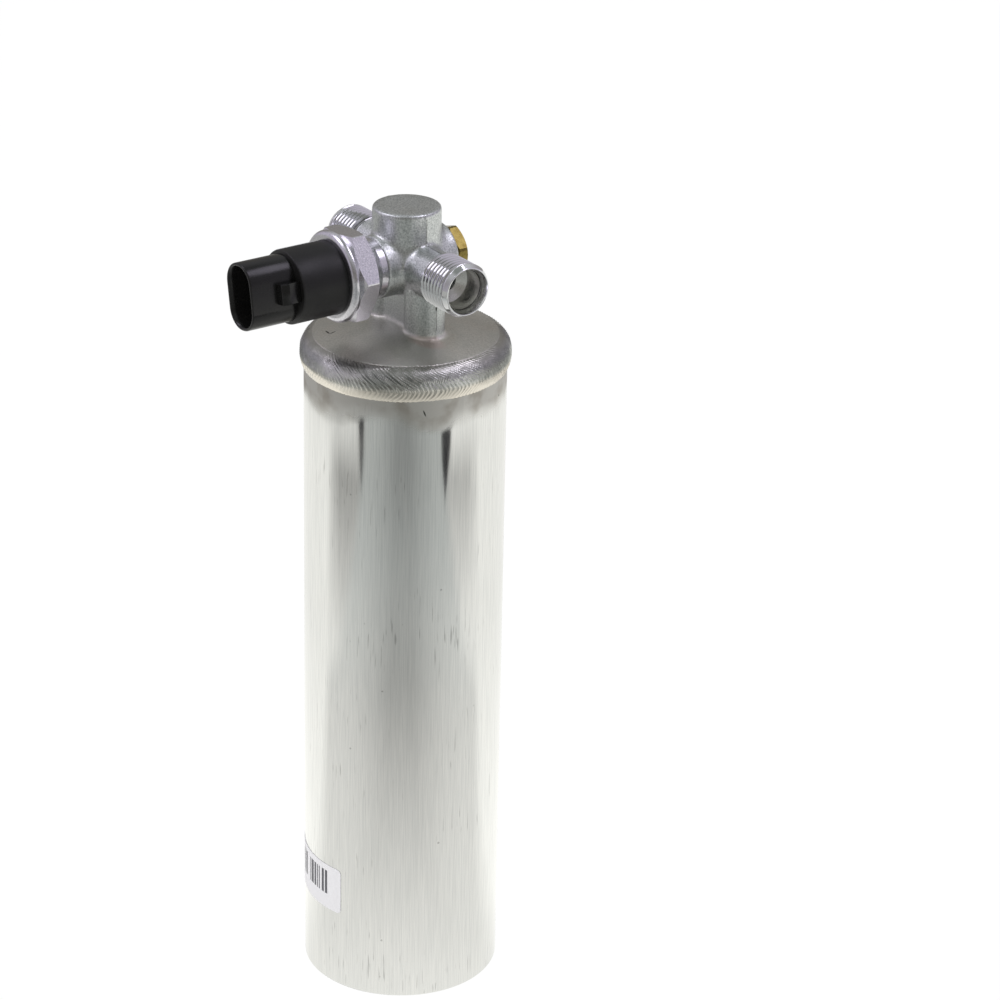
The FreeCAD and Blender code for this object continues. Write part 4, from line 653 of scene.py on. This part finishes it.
sizes = {"Ripples": 146, "Ripple height": 0.15, "Trail": 8.5, "Wander": 0.5, "Highest": 0.2,
         "Crown": WELD_CROWN, "Apex": WELD_APEX}
tree, given, result = new_tree("weld_ripples", sizes)
spot = add(tree, "ShaderNodeVectorMath", {0: add(tree, "GeometryNodeInputPosition"), "Scale": 1 / MM},
           operation="SCALE")
east, north, up = add(tree, "ShaderNodeSeparateXYZ", {0: spot}).node.outputs
angle = add(tree, "ShaderNodeMath", {0: north, 1: east}, operation="ARCTAN2")
# Way over the bead from the apex, in steps of the shoulder's height, and how far the ripple trails there
over_crown = add(tree, "ShaderNodeMath", {0: up, 1: given["Crown"]}, operation="SUBTRACT")
over_crown = add(tree, "ShaderNodeMath", {0: over_crown, 1: 0.0}, operation="MAXIMUM")
lift = add(tree, "ShaderNodeMath", {0: up, 1: given["Apex"]}, operation="SUBTRACT")
lift = add(tree, "ShaderNodeMath", {0: over_crown, 1: 0.88, 2: lift}, operation="MULTIPLY_ADD")
lift = add(tree, "ShaderNodeMath", {0: lift}, operation="ABSOLUTE")
lift = add(tree, "ShaderNodeMath", {0: lift, 1: 9.0}, operation="DIVIDE")
trail = add(tree, "ShaderNodeMath", {0: lift, 1: 1.3}, operation="POWER")
trail = add(tree, "ShaderNodeMath", {0: trail, 1: given["Trail"]}, operation="MULTIPLY")
trail = add(tree, "ShaderNodeMath", {0: trail, 1: WELD_RADIUS}, operation="DIVIDE")
turn = add(tree, "ShaderNodeMath", {0: angle, 1: trail})
count = add(tree, "ShaderNodeMath", {0: turn, 1: given["Ripples"]}, operation="MULTIPLY")
drift = add(tree, "ShaderNodeTexNoise", {0: spot, "Scale": 0.16, "Detail": 2.0})
phase = add(tree, "ShaderNodeMath", {0: drift, 1: 14.0, 2: count}, operation="MULTIPLY_ADD")
crest = add(tree, "ShaderNodeMath", {0: phase}, operation="SINE")
twice = add(tree, "ShaderNodeMath", {0: phase, 1: 2.0}, operation="MULTIPLY")
twice = add(tree, "ShaderNodeMath", {0: twice}, operation="SINE")
crest = add(tree, "ShaderNodeMath", {0: twice, 1: 0.35, 2: crest}, operation="MULTIPLY_ADD")
patchy = add(tree, "ShaderNodeTexNoise", {0: spot, "Scale": 0.13, "Detail": 2.0})
patchy = add(tree, "ShaderNodeMapRange", {0: patchy, 1: 0.36, 2: 0.58, 3: 0.55, 4: 1.35})
crest = add(tree, "ShaderNodeMath", {0: crest, 1: patchy}, operation="MULTIPLY")
for level_from, level_to, ease in ((199.4, 203.2, 0.22), (208.9, 207.0, 0.3)):
    eased = add(tree, "ShaderNodeMapRange", {0: up, 1: level_from, 2: level_to, 3: ease, 4: 1.0})
    crest = add(tree, "ShaderNodeMath", {0: crest, 1: eased}, operation="MULTIPLY")
crest = add(tree, "ShaderNodeMath", {0: crest, 1: given["Ripple height"]}, operation="MULTIPLY")
bulk = add(tree, "ShaderNodeTexNoise", {0: spot, "Scale": 0.12, "Detail": 2.0})
bulk = add(tree, "ShaderNodeMath", {0: bulk, 1: 0.5}, operation="SUBTRACT")
crest = add(tree, "ShaderNodeMath", {0: bulk, 1: given["Wander"], 2: crest}, operation="MULTIPLY_ADD")
crest = add(tree, "ShaderNodeMath", {0: crest, 1: given["Highest"]}, operation="MINIMUM")
end_tree(tree, result, push_out(tree, given["Geometry"], crest), weld_aluminium)
toe_at_cap = (27.35, 208.95)
bead = [(29.8, 198.7)] + arc((30.05, 199.0), (WELD_RADIUS, WELD_CROWN), 9.0, 14)
bead += arc((WELD_RADIUS, WELD_CROWN), toe_at_cap, 4.9, 20)
bead += [toe_at_cap, (27.0, 208.6), (29.0, 203.6), (29.35, 201.0), (29.8, 201.0), (29.8, 198.7)]
bead_mesh = turned([(r * MM, z * MM) for r, z in bead], 1700)
seed = object_from("weld_seed", bead_mesh, weld_aluminium)
rippled = grow("weld_bead_rippled", tree, sizes, seed.data)
bpy.data.objects.remove(seed)
rippled.data.shade_smooth()
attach(rippled, "drier")
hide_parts("weld_bead")


# Fusible plug
# Brass hexagon screw with bevelled corners, yellow passivated, its bore filled with a dull low-melting alloy,
# on a thin rubber washer.

TARNISH = 2.5 * MM
# Yellow passivated brass: an olive gold mirror, broken by tarnish
yellow_brass, tree, shader, place = new_material("passivated_brass", Metallic=1.0, Roughness=0.22)
tarnish = add(tree, "ShaderNodeTexNoise", {0: place, "Scale": 1 / TARNISH, "Detail": 4.0})
tree.links.new(two_tones(tree, tarnish, "#6c5e30", "#9a8a4e"), shader.inputs["Base Color"])
rough = add(tree, "ShaderNodeMapRange", {0: tarnish, 1: 0.3, 2: 0.7, 3: 0.2, 4: 0.36})
tree.links.new(rough, shader.inputs["Roughness"])
# The alloy is a dull lead grey and the seals are a dark matt green
fusible_alloy = plain_finish("fusible_alloy", "#a2a3a6", "#85868a", 0.7 * MM, 1.0, 0.5)
seal_rubber = plain_finish("green_seal_rubber", "#1d3a2c", "#15291f", 0.6 * MM, 0.0, 0.6)
dress(yellow_brass, "fusible_plug")
dress(fusible_alloy, "fusible_core")
dress(seal_rubber, "plug_washer", "port_seal", "flange_seal")


# Switch body
# Turned from hexagon bar and zinc plated: ring, flare, hexagon with bevelled corners and the collar that is
# rolled over the housing.

MOTTLE = 0.5 * MM
DRAWN_LENGTH = 4 * MM
# Zinc plated bar: a bright, faintly lilac mirror, drawn out along the flats
zinc_plate, tree, shader, place = new_material("zinc_plated_bar", Metallic=1.0, Roughness=0.26)
mottle = add(tree, "ShaderNodeTexNoise", {0: place, "Scale": 1 / MOTTLE, "Detail": 4.0})
drawn = lumps(tree, place, (MOTTLE, DRAWN_LENGTH, MOTTLE))
rough = add(tree, "ShaderNodeMapRange", {0: mottle, 1: 0.3, 2: 0.7, 3: 0.2, 4: 0.26})
wire_up(tree, shader, two_tones(tree, mottle, "#cfced3", "#e0dfe3"), rough, drawn, 0.08, 0.015 * MM)
dress(zinc_plate, "switch_body")


# Works of the switch
# Zinc plated disc ring, spring steel snap disc, polyimide diaphragm, moulded guide and push pin, bronze
# contact blade and tinned brass terminals. They sit inside the closed switch.

# The film is a clear amber, the moulded guide and pin are ivory, bronze is warm and tin a soft white
film = plain_finish("polyimide_film", "#c98a2c", "#b87a22", 2 * MM, 0.0, 0.3, 0.01 * MM)
ivory = plain_finish("ivory_nylon", "#ebe6d6", "#dfd8c4", 1.5 * MM, 0.0, 0.5)
bronze = plain_finish("phosphor_bronze", "#c08a58", "#a97646", 0.8 * MM, 1.0, 0.25)
tinned_brass = plain_finish("tinned_brass", "#cfccc2", "#b9b5a8", 0.6 * MM, 1.0, 0.3)
dress(pressed_steel, "disc_ring")
dress(spring_wire, "snap_disc")
dress(film, "diaphragm")
dress(ivory, "pin_guide", "push_pin")
dress(bronze, "contact_blade")
dress(tinned_brass, *(f"terminal_{index}" for index in range(1, 5)))


# Switch housing
# One glass-filled nylon moulding: barrel held by the rolled collar, oval connector shroud with a thin
# rounded lip, and a latch block with its barb on each side. The barrel is duller than the shroud.

FIBRE = 0.3 * MM              # real fibres are finer: drawn as coarse as they need to show
SMEAR = 7 * MM
DULL_FROM, DULL_TO = -42.3 * MM, -41.9 * MM    # along Y, where the shroud gives way to the barrel
# Glass-filled nylon: nearly black, with a low sheen that the fibres break up
black_nylon, tree, shader, place = new_material("glass_filled_nylon", Roughness=0.3, Specular_IOR_Level=0.38)
fibre = add(tree, "ShaderNodeTexNoise", {0: place, "Scale": 1 / FIBRE, "Detail": 3.0})
smear = add(tree, "ShaderNodeTexNoise", {0: place, "Scale": 1 / SMEAR, "Detail": 3.0})
plastic = two_tones(tree, fibre, "#10100f", "#191918", 0.4, 0.7)
rough = add(tree, "ShaderNodeMapRange", {0: smear, 1: 0.3, 2: 0.7, 3: 0.18, 4: 0.28})
along = add(tree, "ShaderNodeSeparateXYZ", {0: place}).node.outputs["Y"]
duller = add(tree, "ShaderNodeMapRange", {0: along, 1: DULL_FROM, 2: DULL_TO, 3: 0.0, 4: 0.24})
rough = add(tree, "ShaderNodeMath", {0: rough, 1: duller})
wire_up(tree, shader, plastic, rough, fibre, 0.2, 0.03 * MM)

SWITCH_TURN = math.radians(10)
switch_seat = (Matrix.Translation((0, FRONT_FACE * MM, ARM_AXIS * MM))
               @ Matrix.Rotation(math.radians(90), 4, "X") @ Matrix.Rotation(SWITCH_TURN, 4, "Z"))
HOUSING_FOOT, COLLAR_LIP, HOUSING_FRONT, MOUTH = 7.8, 14.15, 30.0, 44.8
BARREL, FLANGE, CAVITY, CAVITY_END = 10.9, 11.5, 8.5, 15.8
barrel = [(CAVITY, HOUSING_FOOT), (FLANGE, HOUSING_FOOT), (FLANGE, 9.5), (9.9, 9.5), (9.9, 11.2),
          (FLANGE, 11.2), (FLANGE, COLLAR_LIP), (BARREL, COLLAR_LIP), (BARREL, HOUSING_FRONT - 0.4),
          (BARREL - 0.05, HOUSING_FRONT - 0.2), (BARREL - 0.18, HOUSING_FRONT - 0.06),
          (BARREL - 0.35, HOUSING_FRONT), (0.001, HOUSING_FRONT), (0.001, CAVITY_END), (CAVITY, CAVITY_END),
          (CAVITY, HOUSING_FOOT)]
moulding = bmesh.new()
moulding.from_mesh(turned([(r * MM, z * MM) for r, z in barrel], 144))


def oval_ring(half_width, half_height, corner, level):
    """Upright rounded rectangle as a ring of points at one level."""
    ring = []
    for quarter, (side, top) in enumerate(((1, 1), (-1, 1), (-1, -1), (1, -1))):
        for step in range(13):
            turn = math.radians(90 * quarter + 90 * step / 12)
            ring.append(((side * (half_width - corner) + corner * math.cos(turn)) * MM,
                         (top * (half_height - corner) + corner * math.sin(turn)) * MM, level * MM))
    return ring


SHROUD_WIDTH, SHROUD_HEIGHT, SHROUD_CORNER, SHROUD_WALL = 13.0, 19.8, 6.2, 1.3
LIP = [(0.0, -0.45), (0.07, -0.2), (0.22, -0.05), (0.45, 0.0), (0.68, -0.03), (0.9, -0.25),
       (SHROUD_WALL, -1.6)]
wall = [(0.0, HOUSING_FRONT - 0.6)] + [(inset, MOUTH + drop) for inset, drop in LIP]
wall += [(SHROUD_WALL, HOUSING_FRONT + 0.8)]
rings = []
for inset, level in wall:
    points = oval_ring(SHROUD_WIDTH / 2 - inset, SHROUD_HEIGHT / 2 - inset, SHROUD_CORNER - inset, level)
    rings.append([moulding.verts.new(point) for point in points])
for below, above in zip(rings, rings[1:]):
    for here, there in zip(range(len(below)), list(range(1, len(below))) + [0]):
        moulding.faces.new((below[here], below[there], above[there], above[here]))
moulding.faces.new(rings[-1])
moulding.faces.new(rings[0][::-1])
LATCH_HALF = 3.0
LATCH = [(5.6, HOUSING_FRONT - 0.3), (9.1, HOUSING_FRONT - 0.3), (9.1, 34.1), (10.3, 34.1), (9.1, 36.3),
         (5.6, 36.3)]
for side in (1, -1):
    ends = [[moulding.verts.new((side * x * MM, y * MM, z * MM)) for x, z in LATCH]
            for y in (-LATCH_HALF, LATCH_HALF)]
    caps = [moulding.faces.new(ends[0]), moulding.faces.new(ends[1][::-1])]
    sides = [moulding.faces.new((ends[0][here], ends[1][here], ends[1][here - 1], ends[0][here - 1]))
             for here in range(len(LATCH))]
    edges = {edge for face in caps + sides for edge in face.edges}
    bmesh.ops.bevel(moulding, geom=list(edges), offset=0.22 * MM, segments=2, profile=0.5, affect="EDGES")
housing_mesh = bpy.data.meshes.new("housing_moulding")
moulding.to_mesh(housing_mesh)
moulding.free()
housing = object_from("housing_moulding", housing_mesh, black_nylon, switch_seat, sharp=40)
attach(housing, "drier")
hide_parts("switch_housing")


# Labels
# Coated white paper, one round the can and one on the housing. The can's carries a plain row of bars; its
# lettering and the housing label's are left off.

# Coated paper: a clean white with a faint gloss, and grey printed bars on the can's
coated_paper = plain_finish("coated_paper", "#f3f4f2", "#ebedea", 3 * MM, 0.0, 0.4, 0.01 * MM)
dress(coated_paper, "side_label")
printed_paper, tree, shader, place = new_material("printed_paper", Roughness=0.4)
east, north, up = add(tree, "ShaderNodeSeparateXYZ", {0: place}).node.outputs
angle = add(tree, "ShaderNodeMath", {0: north, 1: east}, operation="ARCTAN2")
BAR_STEP = 0.55 / 30          # 0.55 mm round the can of 30 mm radius, as an angle
BARS_FROM, BARS_TO = -140, -82
BARS_FOOT, BARS_TOP = 30.5, 38.6
bars = add(tree, "ShaderNodeMath", {0: angle, 1: BAR_STEP}, operation="DIVIDE")
bars = add(tree, "ShaderNodeMath", {0: bars}, operation="FLOOR")
bars = add(tree, "ShaderNodeTexWhiteNoise", {"W": bars}, noise_dimensions="1D")
bars = add(tree, "ShaderNodeMath", {0: bars, 1: 0.46}, operation="LESS_THAN")
for way, limit, side in (
    (angle, math.radians(BARS_FROM), "GREATER_THAN"), (angle, math.radians(BARS_TO), "LESS_THAN"),
    (up, BARS_FOOT * MM, "GREATER_THAN"), (up, BARS_TOP * MM, "LESS_THAN"),
):
    within = add(tree, "ShaderNodeMath", {0: way, 1: limit}, operation=side)
    bars = add(tree, "ShaderNodeMath", {0: bars, 1: within}, operation="MULTIPLY")
printed = add(tree, "ShaderNodeMix", {0: bars, 6: linear("#f7f8f5"), 7: linear("#55565a")}, data_type="RGBA")
tree.links.new(printed, shader.inputs["Base Color"])
dress(printed_paper, "can_label")


# Studio
# Pale paper floor with a grey cloth before the drier, two dark feet of lamp stands and three soft lamps, in a
# grey room with lilac side walls. The camera sees only the paper; the metal mirrors the cloth and the feet,
# and it doesn't mirror the fill lamp.

AZIMUTH, ELEVATION, ROLL = math.radians(54.31), math.radians(24.17), math.radians(1.14)
CAMERA_PLACE = (0.82758, -0.56186, 0.60323)
back = Vector((math.sin(AZIMUTH) * math.cos(ELEVATION), -math.cos(AZIMUTH) * math.cos(ELEVATION),
               math.sin(ELEVATION)))
right = Vector((math.cos(AZIMUTH), math.sin(AZIMUTH), 0))
over = back.cross(right)
front = Vector((back.x, back.y, 0)).normalized()


def flat_piece(name, corners, faces, material):
    """Object of flat faces with one material."""
    mesh = bpy.data.meshes.new(name)
    mesh.from_pydata(corners, [], faces)
    mesh.materials.append(material)
    return in_scene(name, mesh)


FLOOR_REACH = 4.0
# Matt white paper: it glows evenly to the camera, so that the ground is white, and lights the drier softly
paper, tree, shader, place = new_material("pale_paper", Base_Color=linear("#fbfbfa"), Roughness=0.8)
DIRECT_GLOW = 0.97            # share of what the camera sees of the paper that is its own even glow
turned_place = add(tree, "ShaderNodeMapping", {0: place, 2: (0, 0, -AZIMUTH)})
aside, away, _ = add(tree, "ShaderNodeSeparateXYZ", {0: turned_place}).node.outputs
across = add(tree, "ShaderNodeMath", {0: aside}, operation="ABSOLUTE")
ahead = add(tree, "ShaderNodeMath", {0: away, 1: -1.0}, operation="MULTIPLY")
# The cloth widens towards the camera, and its edges are soft
CLOTH_HALF, CLOTH_SPREAD = 0.236, 0.265
edge = add(tree, "ShaderNodeMath", {0: ahead, 1: CLOTH_SPREAD, 2: CLOTH_HALF}, operation="MULTIPLY_ADD")
inside = add(tree, "ShaderNodeMath", {0: edge, 1: across}, operation="SUBTRACT")
inside = add(tree, "ShaderNodeMapRange", {0: inside, 1: -0.02, 2: 0.02, 3: 0.0, 4: 1.0})
before = add(tree, "ShaderNodeMapRange", {0: ahead, 1: -0.03, 2: 0.01, 3: 0.0, 4: 1.0})
cloth = add(tree, "ShaderNodeMath", {0: inside, 1: before}, operation="MULTIPLY")
distance = add(tree, "ShaderNodeVectorMath", {0: place}, operation="LENGTH")
# Tones that fade with the distance from the drier: where the fade starts and ends, and its tone at each
fade = {}
for name, start, end, tone_from, tone_to in (
    ("cloth", 0.03, 0.24, 0.95, 0.41),
    ("far cloth", 0.33, 0.43, 0.0, 0.12),
    ("cloth side", 0.25, 0.33, 1.0, 0.5),
    ("left shade", 0.46, 0.52, 0.0, 0.5),
    ("ring", 0.25, 0.42, 0.0, 0.45),
    ("left ring", 0.24, 0.31, 0.0, 0.14),
    ("ring end", 0.42, 0.48, 1.0, 0.0),
    ("paper", 0.1, 0.28, 1.12, 0.96),
    ("cool tint", 0.2, 0.36, 0.0, 1.0),
):
    fade[name] = add(tree, "ShaderNodeMapRange", {0: distance, 1: start, 2: end, 3: tone_from, 4: tone_to})
side_tone = add(tree, "ShaderNodeMapRange", {0: across, 1: 0.05, 2: 0.26, 3: 0.0, 4: 0.37})
side_tone = add(tree, "ShaderNodeMath", {0: side_tone, 1: fade["cloth side"]}, operation="MULTIPLY")
tone = add(tree, "ShaderNodeMath", {0: fade["cloth"], 1: fade["far cloth"]}, operation="SUBTRACT")
tone = add(tree, "ShaderNodeMath", {0: tone, 1: side_tone})
leftward = add(tree, "ShaderNodeMapRange", {0: aside, 1: -0.12, 2: -0.2, 3: 0.0, 4: 1.0})
dim = add(tree, "ShaderNodeMath", {0: fade["left shade"], 1: leftward}, operation="MULTIPLY")
ring = add(tree, "ShaderNodeMath", {
    0: fade["left ring"], 1: leftward, 2: fade["ring"],
}, operation="MULTIPLY_ADD")
ring = add(tree, "ShaderNodeMath", {0: ring, 1: fade["ring end"]}, operation="MULTIPLY")
slant = add(tree, "ShaderNodeMapRange", {0: ahead, 1: 0.0, 2: 0.1, 3: 0.4, 4: 1.0})
ring = add(tree, "ShaderNodeMath", {0: ring, 1: slant}, operation="MULTIPLY")
dim = add(tree, "ShaderNodeMath", {0: ring, 1: before, 2: dim}, operation="MULTIPLY_ADD")
outer = add(tree, "ShaderNodeMath", {0: fade["paper"], 1: dim}, operation="SUBTRACT")
tone = add(tree, "ShaderNodeMapRange", {0: cloth, 1: 0.0, 2: 1.0, 3: outer, 4: tone})
ray = add(tree, "ShaderNodeLightPath").node.outputs
mirror = add(tree, "ShaderNodeMath", {0: ray["Is Glossy Ray"], 1: ray["Is Transmission Ray"]},
             operation="MAXIMUM")
direct = add(tree, "ShaderNodeMath", {0: ray["Is Camera Ray"], 1: DIRECT_GLOW}, operation="MULTIPLY")
seen = add(tree, "ShaderNodeMath", {0: direct, 1: mirror}, operation="MAXIMUM")
level = add(tree, "ShaderNodeMapRange", {0: mirror, 1: 0.0, 2: 1.0, 3: 1.02, 4: tone})
cool = add(tree, "ShaderNodeMath", {0: fade["cool tint"], 1: cloth}, operation="MULTIPLY")
WARM, COOL = (1, 0.997, 0.965, 1), (0.965, 1, 0.98, 1)
tint = add(tree, "ShaderNodeMix", {0: cool, 6: WARM, 7: COOL}, data_type="RGBA")
tint = add(tree, "ShaderNodeMix", {0: mirror, 6: (1, 1, 1, 1), 7: tint}, data_type="RGBA")
glow = add(tree, "ShaderNodeEmission", {"Color": tint, "Strength": level})
surface = add(tree, "ShaderNodeMixShader", {0: seen, 1: shader.outputs[0], 2: glow})
tree.links.new(surface, tree.nodes["Material Output"].inputs["Surface"])
floor_corners = [(x * FLOOR_REACH, y * FLOOR_REACH, 0) for x, y in ((-1, -1), (1, -1), (1, 1), (-1, 1))]
floor = flat_piece("floor", floor_corners, [(0, 1, 2, 3)], paper)

feet_corners = []
for side, tip, inner, outer in ((-1, 0.41, 43.6, 50.0), (1, 0.4, 41.5, 53.5)):
    for spread, out in ((47.0, tip), (inner, 0.46), (44.0, 0.60), (54.0, 0.60), (outer, 0.46)):
        turn = math.radians(spread) * side
        corner = right * math.sin(turn) * out + front * math.cos(turn) * out
        feet_corners.append(corner + Vector((0, 0, 0.001)))
# Matt black paint, which the metal mirrors as dark wedges
black_paint = plain_finish("black_paint", "#161616", "#0e0e0e", 4 * MM, 0.0, 0.9)
feet = flat_piece("stand_feet", feet_corners, [(0, 1, 2, 3, 4), (5, 6, 7, 8, 9)], black_paint)
feet.visible_camera = False    # only the metal mirrors them

world = bpy.data.worlds.new("studio")
bpy.context.scene.world = world
world.use_nodes = True
tree = world.node_tree
look = add(tree, "ShaderNodeTexCoord").node.outputs["Generated"]
look = add(tree, "ShaderNodeMapping", {0: look, 2: (0, 0, -AZIMUTH)})
across, away, rise = add(tree, "ShaderNodeSeparateXYZ", {0: look}).node.outputs
across = add(tree, "ShaderNodeMath", {0: across}, operation="ABSOLUTE")
sky = two_tones(tree, rise, "#918e8a", "#c4c5c8", 0.38, 0.75)
for way, start, end, tint in ((rise, 0.86, 0.96, "#8c908d"), (across, 0.45, 0.8, "#c6c1ce")):
    part = add(tree, "ShaderNodeMapRange", {0: way, 1: start, 2: end, 3: 0.0, 4: 1.0})
    sky = add(tree, "ShaderNodeMix", {0: part, 6: sky, 7: linear(tint)}, data_type="RGBA")
facing = add(tree, "ShaderNodeMapRange", {0: away, 1: -0.75, 2: 0.05, 3: 0.8, 4: 1.0})
background = tree.nodes["Background"]
tree.links.new(sky, background.inputs["Color"])
tree.links.new(facing, background.inputs["Strength"])

HEAD_LEVEL = Vector((0, 0, 0.23))
UP = Vector((0, 0, 1))
for name, place, width, depth, power, tint in (
    ("left_softbox", -0.6 * right - 0.02 * front + 0.8 * UP, 0.5, 0.5, 2.0, "#f4eeff"),
    ("right_softbox", 0.48 * right + 0.08 * front + 0.87 * UP, 0.5, 0.5, 2.3, "#f2ebff"),
    ("fill_softbox", -0.5 * right + 0.8 * front + 0.1 * UP, 0.6, 0.6, 3.0, "#ffffff"),
):
    data = bpy.data.lights.new(name, "AREA")
    data.shape = "RECTANGLE"
    data.size, data.size_y = width, depth
    data.energy = power
    data.color = linear(tint)[:3]
    lamp = in_scene(name, data)
    lamp.visible_glossy = name != "fill_softbox"
    lamp.location = HEAD_LEVEL + place
    lamp.rotation_euler = (-place).to_track_quat("-Z", "Y").to_euler()

camera_data = bpy.data.cameras.new("camera")
for setting, value in (("lens", 131.78), ("sensor_width", 36.0), ("shift_x", 0.0073), ("shift_y", 0.0028),
                       ("clip_end", 20.0)):
    setattr(camera_data, setting, value)
camera = in_scene("camera", camera_data)
tilted = right * math.cos(ROLL) + over * math.sin(ROLL)
upward = over * math.cos(ROLL) - right * math.sin(ROLL)
camera.matrix_world = Matrix.Translation(CAMERA_PLACE) @ Matrix(
    (tilted, upward, back)).transposed().to_4x4()
bpy.context.scene.camera = camera
bpy.context.scene.view_settings.view_transform = "Standard"
